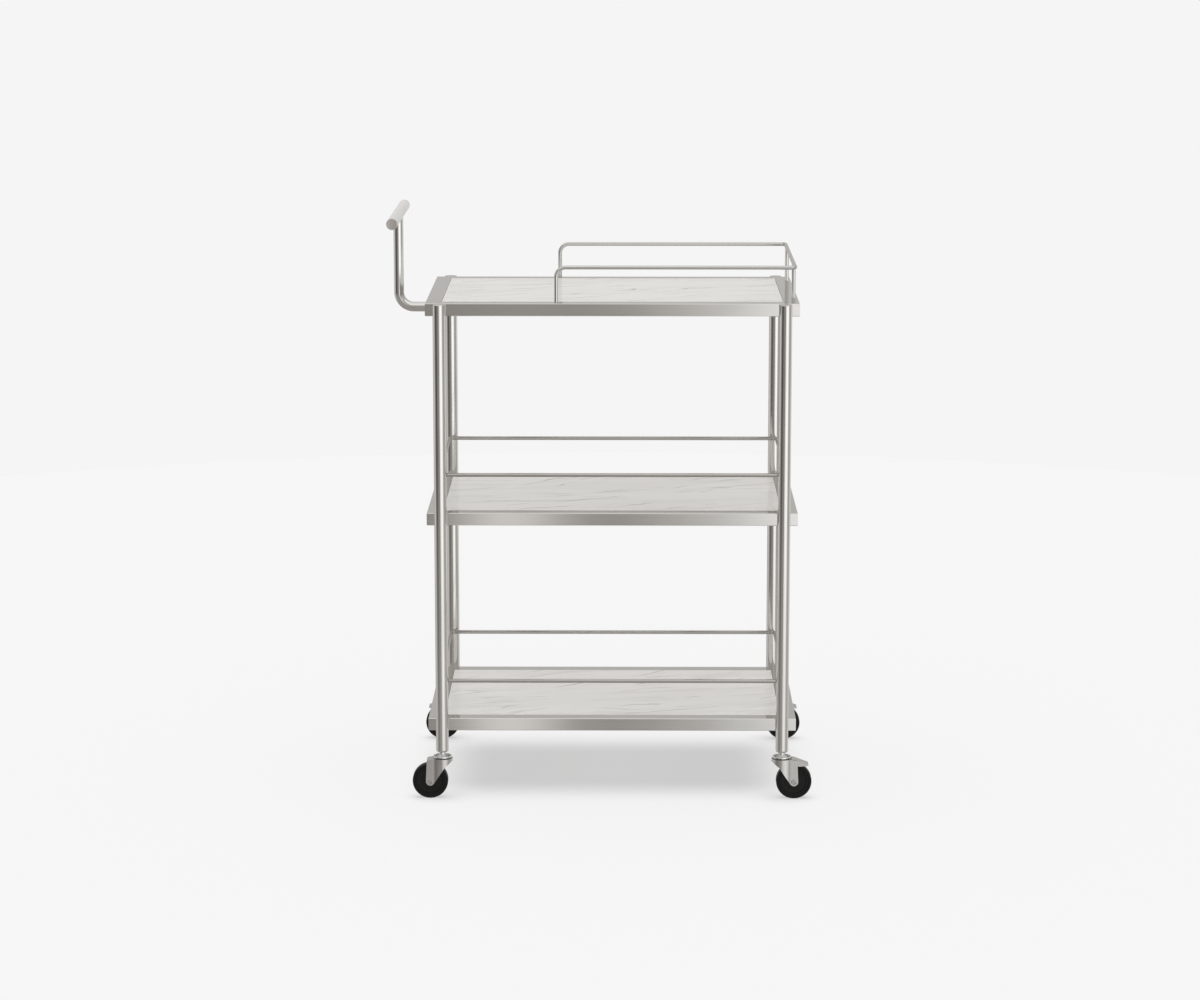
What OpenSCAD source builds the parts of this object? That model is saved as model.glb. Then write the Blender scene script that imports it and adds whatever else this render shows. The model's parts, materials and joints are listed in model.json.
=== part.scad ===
// Bar cart with three shelves, rod rails, a T-shaped push handle and four swivel casters.
// Sizes are in millimetres. X runs left to right, Y front to back and Z up from the floor.
// Every piece is drawn about the middle of the shelves and then moved so that the origin
// lies under the middle of the whole cart's outline.

/* [Shelves] */
// Width of a shelf, left to right
shelf_w = 560; // [480:1:700]
// Depth of a shelf, front to back
shelf_d = 350; // [300:1:450]
// Height of a shelf's edge
shelf_edge_h = 19; // [18:0.5:26]
// Width of the steel rim round a panel
rim_w = 24; // [22:0.5:36]
// Thickness of the folded sheet
sheet_t = 1.5; // [1:0.1:1.8]
// Width of the ledge that carries a panel
ledge_w = 12; // [8:0.5:20]
// Width of the lip folded in under the edge
lip_w = 12; // [11:0.5:14]
// Bevel along the edges of a shelf
edge_bevel = 0.8; // [0.3:0.1:1]
// Thickness of a panel
panel_t = 8; // [6:0.5:9]
// Height of the bottom shelf above the floor
bottom_shelf_h = 121; // [119:1:160]
// Distance from one shelf up to the next
shelf_pitch = 318; // [260:1:360]
// Distance between the two stiffeners under a panel
stiffener_spacing = 280; // [180:1:320]
// Width of a stiffener's web
stiffener_web = 30; // [24:1:40]
// Width of each of a stiffener's flanges
stiffener_flange = 12; // [8:1:16]

/* [Posts] */
// Diameter of a post
post_d = 19; // [18:0.5:24]
// Wall of a post
post_wall = 1.2; // [1:0.1:1.5]
// Distance from a shelf's side to the middle of a post
post_inset = 21.5; // [19:0.5:30]
// Radius of the rounding at a post's foot
foot_round = 3.3; // [2.5:0.1:3.8]
// Thickness of the closed end at a post's foot
foot_t = 3.5; // [3:0.1:5]
// Thickness of a post's top cap
cap_t = 2; // [1.5:0.1:3]
// Radius of the rounding along a top cap's edge
cap_round = 1.4; // [0.5:0.1:1.4]
// Length of a top cap's plug
cap_plug_l = 2.5; // [1.5:0.1:3]
// Length of the socket in a post's foot
socket_l = 29; // [20:1:29]

/* [Shelf bolts] */
// Diameter of a shelf bolt
bolt_d = 5; // [4:0.5:5]
// Diameter of the threaded bush in a post
bush_d = 8; // [7:0.5:8]
// Length of the threaded bush
bush_l = 8; // [6:0.5:9]
// Diameter of a bolt's head
bolt_head_d = 9; // [8:0.5:9]
// Height of a bolt's head
bolt_head_h = 2.8; // [2:0.1:3.5]

/* [Rails] */
// Diameter of the rail rod
rail_d = 6; // [5:0.5:7]
// Height of a rail's middle above its shelf
rail_h = 58; // [40:1:90]
// Distance that a rail's side runs outside the posts' middle line
rail_side_step = 3.5; // [0:0.5:5]
// Radius of a rail's corner at the middle of the rod
rail_corner_r = 6; // [5:0.5:12]

/* [Guard rail on the top shelf] */
// Height of the guard rail's middle above the top shelf
guard_h = 53; // [40:1:80]
// Length of the guard rail, left to right
guard_l = 357; // [250:1:420]
// Distance from the shelf's front and rear edge to the middle of the rod
guard_inset = 10; // [8:0.5:16]
// Distance from the shelf's right edge to the middle of the rod
guard_side_inset = 7; // [6.5:0.5:16]
// Radius of the bends down to the left legs
guard_end_r = 14; // [8:0.5:20]
// Radius of the guard rail's two right corners
guard_corner_r = 8; // [6:0.5:20]
// Distance between the two legs on the right
guard_leg_spacing = 220; // [140:1:240]
// Diameter of a guard screw
guard_screw_d = 3; // [2.5:0.1:3]
// Length of thread in a leg
guard_thread_l = 8; // [6:0.5:12]
// Diameter of a guard screw's head
guard_head_d = 5.6; // [5:0.1:6]
// Height of a guard screw's head
guard_head_h = 2; // [1.5:0.1:2.5]

/* [Handle] */
// Diameter of the handle tube
handle_d = 15; // [13:0.5:16]
// Wall of the handle tube and of the grip
handle_wall = 1.2; // [1:0.1:1.5]
// Distance from the shelf's left edge to the middle of the upright
handle_reach = 49.4; // [40:0.1:80]
// Radius of the bend at the middle of the tube
handle_bend_r = 23; // [18:1:36]
// Height of the grip's middle above the top shelf
grip_h = 116; // [80:1:150]
// Diameter of the grip
grip_d = 17; // [16:0.5:22]
// Length of the grip, front to back, with its caps
grip_l = 304; // [200:1:330]
// Thickness of a grip's end cap
grip_cap_t = 1.5; // [1:0.1:3]
// Length of an end cap's plug
grip_plug_l = 8; // [5:0.5:15]
// Length of tube beyond its inner screw
handle_tail = 15; // [8:1:30]
// Diameter of a handle screw
handle_screw_d = 4; // [3:0.5:4]
// Distance from the shelf's left edge to the outer handle screw
handle_screw_inset = 8; // [7.5:0.1:8.5]
// Diameter of a handle screw's head
handle_head_d = 7.6; // [7:0.1:8]
// Height of a handle screw's head
handle_head_h = 2.6; // [2:0.1:3]
// Width across the corners of a handle nut
handle_nut_d = 8; // [7:0.1:8.4]
// Height of a handle nut
handle_nut_h = 3.2; // [2:0.1:4]

/* [Casters] */
// Diameter of a wheel
wheel_d = 54; // [50:0.5:57]
// Width of a tyre
wheel_w = 15; // [13:0.5:20]
// Thickness of a tyre
tyre_t = 4.5; // [3:0.1:6]
// Radius of a tyre's shoulders
tyre_round = 1.8; // [1:0.1:2.5]
// Depth of the dish in a wheel's face
wheel_dish = 2; // [0.5:0.1:4]
// Width of the wheel core's rim, measured outwards from the dish
core_rim = 3; // [2:0.1:6]
// Distance from a tyre's side in to the core's rim
core_inset = 0.8; // [0.2:0.1:2]
// Diameter of a wheel's hub
hub_d = 15; // [12:0.5:18]
// Outer diameter of the sleeve that a wheel turns on
sleeve_d = 9; // [8:0.1:10]
// Diameter of an axle rivet
axle_d = 6; // [5:0.1:7]
// Diameter of an axle rivet's heads
axle_head_d = 8.4; // [8:0.1:10]
// Height of an axle rivet's heads
axle_head_h = 1; // [0.8:0.1:1.6]
// Diameter of the ring pressed into an axle rivet's heads
axle_dimple_d = 5; // [4:0.1:6.6]
// Distance from the swivel's axis back to the axle
trail = 18.5; // [16:0.5:20]
// Thickness of a fork's sheet
fork_t = 1.7; // [1.4:0.1:2.2]
// Thickness of a fork's top
fork_top_t = 2; // [1.8:0.1:3]
// Distance from a tyre's side to a fork's flat leg
fork_side_gap = 1.9; // [1.8:0.1:4]
// Distance from a tyre's top to the fork
fork_top_gap = 5.8; // [5.4:0.1:8]
// Radius of a fork's round front
fork_front_r = 15.5; // [15:0.1:17]
// Distance from the swivel's axis back to where the flat legs start
fork_round_l = 12.7; // [10:0.1:14]
// Radius of a fork's end round the axle
fork_end_r = 6.5; // [5.5:0.1:7]
// Length of a fork's top behind the swivel's axis
fork_top_l = 23.5; // [22:0.5:24]
// Height of a fork's edge at its very front
fork_front_h = 4.6; // [3:0.1:6]
// Height of a fork's edge where its front corner is
fork_corner_h = 12.3; // [9:0.1:14]
// Distance from the swivel's axis forward to that corner
fork_corner_x = 4; // [2:0.1:7]
// Distance from a fork's very front back to where its edge starts to slope
fork_nose_l = 1.6; // [0.5:0.1:4]
// Fall of a fork's top edge towards its back
fork_fall = 1.8; // [0.5:0.1:2]
// Height of the raceway's gap
raceway_gap = 1.3; // [1:0.1:1.6]
// Diameter of a raceway cap
raceway_d = 28; // [27:0.5:28]
// Height of a raceway cap at its rim
raceway_rim_h = 2.6; // [2.4:0.1:3.5]
// Height of a raceway cap at its middle
raceway_mid_h = 3.9; // [3.5:0.1:5]
// Width of a raceway cap's raised rim
raceway_rim_w = 2; // [1.5:0.1:3]
// Depth of the dish in a raceway cap
raceway_dish = 0.8; // [0.4:0.1:1]
// Diameter of a bearing ball
ball_d = 3; // [2.6:0.1:3]
// Distance from the middle of the balls to a raceway cap's edge
ball_inset = 4.5; // [4:0.1:5]
// Number of bearing balls in a caster
ball_count = 12; // [8:1:14]
// Diameter of a caster's king pin
king_d = 8; // [7:0.1:8]
// Diameter of a king pin's lower head
king_head_d = 13; // [11:0.5:14]
// Height of a king pin's lower head
king_head_h = 2; // [1.5:0.1:2.5]
// Diameter of a stem's neck
neck_d = 10.7; // [10.2:0.1:12]
// Length of neck that shows under a post
neck_l = 4.3; // [3:0.1:8]
// Diameter of a stem inside its socket
stem_d = 10; // [8:0.1:10]

/* [Brakes] */
// Distance from the swivel's axis back to the brake pin
brake_pin_x = 17.5; // [17.2:0.1:18]
// Diameter of a brake pin
brake_pin_d = 3; // [2.5:0.1:3]
// Distance from the underside of the fork's top down to the brake pin
brake_pin_drop = 2.1; // [1.9:0.1:2.3]
// Radius of a pedal's ears round the brake pin
ear_r = 2.9; // [2.6:0.1:3]
// Thickness of a pedal's sheet
pedal_t = 1.2; // [0.9:0.1:1.3]
// Distance from the swivel's axis back to a pedal's tip
pedal_reach = 40.5; // [38:0.5:43]
// Slope of a pedal's tread
pedal_slope = 20; // [17:1:22]
// Height of a pedal's tread above the fork's top, at the brake pin
pedal_rise = 0.5; // [0:0.1:0.8]
// Depth of a pedal's cheeks
cheek_depth = 8; // [5:0.1:8.5]
// Width of the deepest part of a pedal's cheeks
cheek_belly = 6; // [3:0.1:8]
// Diameter of the rolled end of a pedal
roll_d = 2.8; // [2.6:0.1:3.2]
// Diameter of the bar that presses on the tyre
shoe_d = 2.8; // [2.4:0.1:3]
// Distance from the brake pin back to that bar
shoe_x = 10.5; // [9.5:0.1:11.5]

/* [Fits] */
// Clearance all round between a pin and the bore it turns in
run_gap = 0.05; // [0.02:0.01:0.09]
// Clearance all round between a plug or shank and its hole
hole_gap = 0.1; // [0.05:0.01:0.2]
// Clearance all round between a panel and its rim
panel_gap = 0.3; // [0.1:0.1:1]
// Clearance between a pedal's cheeks and the fork's legs
pedal_gap = 0.3; // [0.2:0.1:0.4]
// Clearance between a pedal and the fork's top
pedal_top_gap = 1.1; // [0.5:0.1:1.5]
// Clearance between a hub's ends and the fork's legs
hub_gap = 0.5; // [0.1:0.1:0.8]
// Clearance between the king pin's head and the fork's top
king_gap = 0.15; // [0.05:0.05:0.3]

/* [Hidden] */
$fn = 64;

steel = [0.72, 0.71, 0.69];
dark_steel = [0.5, 0.49, 0.48];
zinc = [0.8, 0.8, 0.78];
stone = [0.88, 0.88, 0.87];
black = [0.09, 0.09, 0.09];

// The two sides of the cart along X and Y
LEFT = -1;
RIGHT = 1;
FRONT = -1;
REAR = 1;
SIDES = [-1, 1];
LEVELS = [0, 1, 2];
BRAKED = [[RIGHT, FRONT], [LEFT, REAR], [RIGHT, REAR]];

// A cut or a bore reaches this far past the faces it opens
over = 1;

// Heights of the caster's stack, from the floor up
axle_z = wheel_d / 2;
fork_under_z = wheel_d + fork_top_gap;
fork_top_z = fork_under_z + fork_top_t;
raceway_z = fork_top_z + raceway_gap;
neck_z = raceway_z + raceway_mid_h;
post_foot_z = neck_z + neck_l;
ball_z = (fork_top_z + raceway_z) / 2;
brake_pin_z = fork_under_z - brake_pin_drop;

// Places of the posts and the shelves
post_x = shelf_w / 2 - post_inset;
post_y = (shelf_d + post_d) / 2;
top_z = shelf_z(2);
post_body_top_z = top_z - cap_t;
open_w = shelf_w - 2 * rim_w;
open_d = shelf_d - 2 * rim_w;
under_ledge_h = shelf_edge_h - panel_t - sheet_t;

// Places of the rails and the guard rail
rail_x = post_x + rail_side_step;
rail_touch = (post_d + rail_d) / 2 + hole_gap;
rail_y = post_y - sqrt(pow(rail_corner_r + rail_touch, 2) - pow(rail_corner_r - rail_side_step, 2)) + rail_corner_r;
guard_z = top_z + guard_h;
guard_right_x = shelf_w / 2 - guard_side_inset;
guard_left_x = guard_right_x - guard_l;
guard_y = shelf_d / 2 - guard_inset;
guard_feet = concat(
  [for (sy = SIDES) [guard_left_x, sy * guard_y]],
  [for (sy = SIDES) [guard_right_x, sy * guard_leg_spacing / 2]]
);

// Places of the handle
handle_x = -(shelf_w / 2 + handle_reach);
handle_run_z = top_z - shelf_edge_h - handle_d / 2;
handle_screw_xs = [-(shelf_w / 2 - handle_screw_inset), -stiffener_spacing / 2];
handle_end_x = -stiffener_spacing / 2 + handle_tail;
grip_z = top_z + grip_h;

// Sizes across the fork, measured from the middle of the wheel
fork_in = wheel_w / 2 + fork_side_gap;
fork_out = fork_in + fork_t;
core_r = wheel_d / 2 - tyre_t;
ball_ring_r = raceway_d / 2 - ball_inset;
pedal_half_w = fork_in - pedal_gap;
braked_top_l = brake_pin_x - ear_r - pedal_top_gap;

// The whole outline's middle, left to right
outline_left = handle_x - grip_d / 2;
outline_right = post_x + trail + wheel_d / 2;
origin_x = -(outline_left + outline_right) / 2;

// Height of a shelf's upper face, counted from the bottom shelf
function shelf_z(level) = bottom_shelf_h + level * shelf_pitch;

// Height of the bolts in a shelf's edge
function bolt_z(level) = shelf_z(level) - shelf_edge_h / 2;

// Moves a piece from the shelves' middle to its place about the part's origin
module placed() {
  translate([origin_x, 0, 0]) children();
}

// Puts a piece at a post
module at_post(sx, sy) {
  placed() translate([sx * post_x, sy * post_y, 0]) children();
}

// Puts a piece at all four posts
module at_posts() {
  for (sx = SIDES, sy = SIDES) at_post(sx, sy) children();
}

// Puts a piece at a caster, with +X pointing back along its trail
module at_caster(sx, sy) {
  at_post(sx, sy) rotate([0, 0, sx == LEFT ? 180 : 0]) children();
}

// Points a piece drawn along +Z from a post's middle at the shelf beside it
module toward_shelf(sy) {
  rotate([90 * sy, 0, 0]) children();
}

// A cylinder from the height z0 up to z1
module shaft(d, z0, z1) {
  translate([0, 0, z0]) cylinder(d = d, h = z1 - z0);
}

// A cylinder along Y, centred on the middle plane
module cross_shaft(d, half_l) {
  rotate([90, 0, 0]) cylinder(d = d, h = 2 * half_l, center = true);
}

// A quarter bend of round rod in the XY plane, from +X round to +Y
module bend(r, d) {
  rotate_extrude(angle = 90) translate([r, 0]) circle(d = d);
}

// A straight rod along X between two places
module run_x(d, x0, x1) {
  translate([x0, 0, 0]) rotate([0, 90, 0]) cylinder(d = d, h = x1 - x0);
}

// A straight rod along Y between two places
module run_y(d, y0, y1) {
  translate([0, y0, 0]) rotate([-90, 0, 0]) cylinder(d = d, h = y1 - y0);
}

// A block with its plan centred on the origin
module block(w, d, z0, z1) {
  translate([-w / 2, -d / 2, z0]) cube([w, d, z1 - z0]);
}

// The outline of a shelf's edge with its bevels, seen along one side
module bevelled_outline(w) {
  b = edge_bevel;
  h = shelf_edge_h;
  polygon([
    [-w / 2, b], [-w / 2 + b, 0], [w / 2 - b, 0], [w / 2, b],
    [w / 2, h - b], [w / 2 - b, h], [-w / 2 + b, h], [-w / 2, h - b]
  ]);
}

// The outside of a shelf, bevelled along all its edges
module shelf_outside() {
  intersection() {
    rotate([90, 0, 0]) linear_extrude(shelf_d, center = true) bevelled_outline(shelf_w);
    rotate([90, 0, 90]) linear_extrude(shelf_w, center = true) bevelled_outline(shelf_d);
  }
}

// The hollow inside the folded edge, open downwards inside the lip
module shelf_hollow() {
  inner_w = shelf_w - 2 * sheet_t;
  inner_d = shelf_d - 2 * sheet_t;
  riser_w = open_w + 2 * sheet_t;
  riser_d = open_d + 2 * sheet_t;
  block(inner_w, inner_d, sheet_t, under_ledge_h);
  block(shelf_w - 2 * lip_w, shelf_d - 2 * lip_w, -over, sheet_t + over);
  difference() {
    block(inner_w, inner_d, under_ledge_h - over, shelf_edge_h - sheet_t);
    block(riser_w, riser_d, under_ledge_h - 2 * over, shelf_edge_h);
  }
}

// A shelf's folded rim: apron, rim, riser, ledge and lip
module shelf_frame(level) {
  color(steel) placed() translate([0, 0, shelf_z(level) - shelf_edge_h]) difference() {
    shelf_outside();
    shelf_hollow();
    block(open_w, open_d, shelf_edge_h - panel_t, shelf_edge_h + over);
    block(open_w - 2 * ledge_w, open_d - 2 * ledge_w, -over, shelf_edge_h + over);
    for (sx = SIDES, sy = SIDES)
      translate([sx * post_x, sy * shelf_d / 2, shelf_edge_h / 2])
        cross_shaft(bolt_d + 2 * hole_gap, 2 * sheet_t);
    if (level == 2) {
      for (foot = guard_feet)
        translate([foot[0], foot[1], 0])
          shaft(guard_screw_d + 2 * hole_gap, shelf_edge_h - 2 * sheet_t, shelf_edge_h + over);
      translate([handle_screw_xs[0], 0, 0]) shaft(handle_screw_d + 2 * hole_gap, -over, 2 * sheet_t);
    }
  }
}

// The panel let into a shelf, flush with its rim
module shelf_panel(level) {
  color(stone) placed() translate([0, 0, shelf_z(level)])
    block(open_w - 2 * panel_gap, open_d - 2 * panel_gap, -panel_t, 0);
}

// The hat section of a stiffener, web down
module hat_section() {
  a = stiffener_web / 2;
  b = a + stiffener_flange;
  c = a - sheet_t;
  h = under_ledge_h;
  polygon([
    [-a, 0], [a, 0], [a, h - sheet_t], [b, h - sheet_t], [b, h], [c, h],
    [c, sheet_t], [-c, sheet_t], [-c, h], [-b, h], [-b, h - sheet_t], [-a, h - sheet_t]
  ]);
}

// Two stiffeners under each panel, held by the ledges
module shelf_stiffeners() {
  color(steel) placed() for (level = LEVELS, sx = SIDES)
    translate([sx * stiffener_spacing / 2, 0, shelf_z(level) - shelf_edge_h]) difference() {
      rotate([90, 0, 0]) linear_extrude(open_d + 2 * sheet_t, center = true) hat_section();
      if (level == 2 && sx == LEFT) shaft(handle_screw_d + 2 * hole_gap, -over, 2 * sheet_t);
    }
}

// A post's wall with its foot formed round and closed to a hole
module post_tube() {
  r = post_d / 2;
  rotate_extrude() difference() {
    union() {
      translate([0, post_foot_z + foot_round]) square([r, post_body_top_z - post_foot_z - foot_round]);
      translate([0, post_foot_z]) square([r - foot_round, 2 * foot_round]);
      translate([r - foot_round, post_foot_z + foot_round]) circle(foot_round);
    }
    translate([0, post_foot_z + foot_t]) square([r - post_wall, post_body_top_z - post_foot_z]);
    translate([0, post_foot_z - over]) square([neck_d / 2 + hole_gap, foot_t + 2 * over]);
  }
}

module post(sx, sy) {
  color(steel) at_post(sx, sy) difference() {
    post_tube();
    for (level = LEVELS)
      translate([0, 0, bolt_z(level)]) toward_shelf(sy)
        shaft(bush_d + 2 * hole_gap, post_d / 4, post_d / 2 + over);
  }
}

// Caps that close the posts' tops, with a rounded edge
module post_top_caps() {
  r = post_d / 2;
  color(steel) at_posts() {
    rotate_extrude() {
      translate([0, post_body_top_z]) square([r - cap_round, cap_t]);
      translate([0, post_body_top_z]) square([r, cap_t - cap_round]);
      translate([r - cap_round, top_z - cap_round]) intersection() {
        circle(cap_round);
        square(cap_round);
      }
    }
    shaft(post_d - 2 * post_wall - 2 * hole_gap, post_body_top_z - cap_plug_l, post_body_top_z);
  }
}

// Sockets in the posts' feet that hold the stems
module post_foot_sockets() {
  z0 = post_foot_z + foot_t;
  color(dark_steel) at_posts() difference() {
    shaft(post_d - 2 * post_wall - 2 * hole_gap, z0, z0 + socket_l);
    shaft(stem_d + 2 * hole_gap, z0 - over, z0 + socket_l + over);
  }
}

// Bolts through the aprons into the posts, heads inside the shelf's edge
module shelf_bolts() {
  seat = post_d / 2 + sheet_t;
  color(zinc) for (level = LEVELS, sx = SIDES, sy = SIDES)
    at_post(sx, sy) translate([0, 0, bolt_z(level)]) toward_shelf(sy) {
      shaft(bolt_d, post_d / 2 - bush_l, seat);
      shaft(bolt_head_d, seat, seat + bolt_head_h);
    }
}

// Threaded bushes set in the posts, flush with the apron
module post_bushes() {
  color(zinc) for (level = LEVELS, sx = SIDES, sy = SIDES)
    at_post(sx, sy) translate([0, 0, bolt_z(level)]) toward_shelf(sy) difference() {
      shaft(bush_d, post_d / 2 - bush_l, post_d / 2);
      shaft(bolt_d + 2 * run_gap, post_d / 2 - bush_l - over, post_d / 2 + over);
    }
}

// A closed rod rail round a shelf, inside the posts
module rail(level) {
  r = rail_corner_r;
  color(steel) placed() translate([0, 0, shelf_z(level) + rail_h]) {
    for (sy = SIDES) translate([0, sy * rail_y, 0]) run_x(rail_d, r - rail_x, rail_x - r);
    for (sx = SIDES) translate([sx * rail_x, 0, 0]) run_y(rail_d, r - rail_y, rail_y - r);
    for (turn = [[1, 1, 0], [-1, 1, 90], [-1, -1, 180], [1, -1, 270]])
      translate([turn[0] * (rail_x - r), turn[1] * (rail_y - r), 0])
        rotate([0, 0, turn[2]]) bend(r, rail_d);
  }
}

// The threaded hole in the foot of a guard leg
module guard_foot_hole(foot) {
  translate([foot[0], foot[1], top_z])
    shaft(guard_screw_d + 2 * run_gap, -over, guard_thread_l + hole_gap);
}

// The guard rail, bent from one rod, with its two left legs
module guard_rail() {
  r = guard_corner_r;
  color(steel) placed() difference() {
    union() {
      for (sy = SIDES) {
        translate([guard_left_x, sy * guard_y, 0]) shaft(rail_d, top_z, guard_z - guard_end_r);
        translate([guard_left_x + guard_end_r, sy * guard_y, guard_z - guard_end_r])
          rotate([90, 0, 0]) rotate([0, 0, 90]) bend(guard_end_r, rail_d);
        translate([0, sy * guard_y, guard_z])
          run_x(rail_d, guard_left_x + guard_end_r, guard_right_x - r);
        translate([guard_right_x - r, sy * (guard_y - r), guard_z])
          rotate([0, 0, sy == REAR ? 0 : 270]) bend(r, rail_d);
      }
      translate([guard_right_x, 0, guard_z]) run_y(rail_d, r - guard_y, guard_y - r);
    }
    for (i = [0, 1]) guard_foot_hole(guard_feet[i]);
  }
}

// The two right legs, cut round where they meet the rail
module guard_legs_right() {
  color(steel) placed() difference() {
    for (i = [2, 3]) translate([guard_feet[i][0], guard_feet[i][1], 0]) shaft(rail_d, top_z, guard_z);
    translate([guard_right_x, 0, guard_z]) run_y(rail_d + 2 * run_gap, -guard_y, guard_y);
    for (i = [2, 3]) guard_foot_hole(guard_feet[i]);
  }
}

// Screws from under the top shelf's rim into the guard rail's four legs
module guard_screws() {
  color(zinc) placed() for (foot = guard_feet) translate([foot[0], foot[1], top_z]) {
    shaft(guard_screw_d, -sheet_t, guard_thread_l);
    shaft(guard_head_d, -sheet_t - guard_head_h, -sheet_t);
  }
}

// The line of the handle tube: upright, bend and run under the shelf
module handle_line(d, end_x, top) {
  r = handle_bend_r;
  translate([handle_x, 0, 0]) shaft(d, handle_run_z + r, top);
  translate([handle_x + r, 0, handle_run_z + r]) rotate([90, 0, 0]) rotate([0, 0, 180]) bend(r, d);
  translate([0, 0, handle_run_z]) run_x(d, handle_x + r, end_x);
}

// The handle tube, cut round where it meets the grip
module handle_tube() {
  color(steel) placed() difference() {
    handle_line(handle_d, handle_end_x, grip_z);
    handle_line(handle_d - 2 * handle_wall, handle_end_x + over, grip_z + over);
    translate([handle_x, 0, grip_z]) cross_shaft(grip_d + 2 * run_gap, handle_d);
    for (x = handle_screw_xs)
      translate([x, 0, handle_run_z]) shaft(handle_screw_d + 2 * hole_gap, -handle_d, handle_d);
  }
}

// The grip across the top of the upright
module handle_grip() {
  half_l = grip_l / 2 - grip_cap_t;
  color(steel) placed() translate([handle_x, 0, grip_z]) difference() {
    cross_shaft(grip_d, half_l);
    cross_shaft(grip_d - 2 * handle_wall, half_l + over);
  }
}

// Flat caps in the grip's two ends
module grip_end_caps() {
  color(dark_steel) placed() for (sy = SIDES)
    translate([handle_x, sy * grip_l / 2, grip_z]) rotate([90 * sy, 0, 0]) {
      shaft(grip_d, 0, grip_cap_t);
      shaft(grip_d - 2 * handle_wall - 2 * hole_gap, grip_cap_t, grip_cap_t + grip_plug_l);
    }
}

// Screws up through the handle tube into the shelf's lip and a stiffener
module handle_screws() {
  head_z = handle_run_z - handle_d / 2;
  plate_z = top_z - shelf_edge_h + sheet_t;
  color(zinc) placed() for (x = handle_screw_xs) translate([x, 0, 0]) {
    shaft(handle_head_d, head_z - handle_head_h, head_z);
    shaft(handle_screw_d, head_z, plate_z + handle_nut_h + over);
  }
}

// Nuts on the handle screws
module handle_nuts() {
  plate_z = top_z - shelf_edge_h + sheet_t;
  color(zinc) placed() for (x = handle_screw_xs) translate([x, 0, plate_z]) difference() {
    cylinder(d = handle_nut_d, h = handle_nut_h, $fn = 6);
    shaft(handle_screw_d + 2 * run_gap, -over, handle_nut_h + over);
  }
}

// The ring groove that the bearing balls run in
module ball_groove() {
  translate([0, 0, ball_z]) rotate_extrude()
    translate([ball_ring_r, 0]) circle(d = ball_d + 2 * run_gap);
}

// Dished caps over the bearing balls
module raceway_caps() {
  dish_d = raceway_d - 2 * raceway_rim_w;
  boss_d = (neck_d + dish_d) / 2 - raceway_rim_w;
  color(zinc) at_posts() difference() {
    union() {
      shaft(raceway_d, raceway_z, raceway_z + raceway_rim_h);
      shaft(boss_d, raceway_z, neck_z);
    }
    difference() {
      shaft(dish_d, raceway_z + raceway_rim_h - raceway_dish, neck_z);
      shaft(boss_d, raceway_z, neck_z + over);
    }
    ball_groove();
    shaft(king_d + 2 * run_gap, raceway_z - over, neck_z + over);
  }
}

// Bearing balls between the raceway caps and the forks
module bearing_balls() {
  color(zinc) at_posts() for (i = [0 : ball_count - 1])
    rotate([0, 0, i * 360 / ball_count]) translate([ball_ring_r, 0, ball_z]) sphere(d = ball_d);
}

// A stem: shank in the socket, neck, king pin and lower head
module stem(sx, sy) {
  head_z = fork_under_z - king_gap;
  color(zinc) at_caster(sx, sy) {
    shaft(king_head_d, head_z - king_head_h, head_z);
    shaft(king_d, head_z, neck_z);
    shaft(neck_d, neck_z, post_foot_z + foot_t);
    shaft(stem_d, post_foot_z + foot_t, post_foot_z + foot_t + socket_l);
  }
}

// The fork's plan: round in front, easing in behind the swivel to two flat legs
module fork_plan(front_r, leg_half_w, l) {
  step = front_r - leg_half_w;
  ease_r = (pow(fork_round_l, 2) + pow(step, 2)) / (2 * step);
  intersection() {
    circle(front_r);
    translate([-2 * front_r, -2 * front_r]) square([2 * front_r + fork_round_l / 2, 4 * front_r]);
  }
  intersection() {
    translate([0, front_r - ease_r]) circle(ease_r, $fn = 256);
    translate([0, ease_r - front_r]) circle(ease_r, $fn = 256);
    translate([0, -front_r]) square([fork_round_l, 2 * front_r]);
  }
  translate([0, -leg_half_w]) square([l, 2 * leg_half_w]);
}

// Where a line from the point p touches the circle of radius r about c, on the front side
function touch(c, r, p) =
  let (v = p - c, l = norm(v), a = atan2(v[1], v[0]) + acos(r / l)) c + r * [cos(a), sin(a)];

// The fork seen from the side
module fork_side() {
  axle = [trail, axle_z];
  front_x = -(fork_front_r + over);
  front_z = fork_top_z - fork_front_h;
  corner = [-fork_corner_x, fork_top_z - fork_corner_h];
  polygon([
    [front_x, fork_top_z], [front_x, front_z], [fork_nose_l - fork_front_r, front_z],
    corner, touch(axle, fork_end_r, corner), axle, [trail + fork_end_r, axle_z],
    [fork_top_l, fork_top_z - fork_fall], [fork_round_l, fork_top_z]
  ]);
  translate(axle) circle(fork_end_r);
}

// The fork's top seen from the side, thin where it carries the balls and falling away behind
module fork_top_side() {
  l = fork_top_l;
  polygon([
    [-fork_front_r, fork_under_z], [fork_round_l, fork_under_z], [l, fork_under_z - fork_fall],
    [l, fork_top_z - fork_fall], [fork_round_l, fork_top_z], [-fork_front_r, fork_top_z]
  ]);
}

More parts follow.
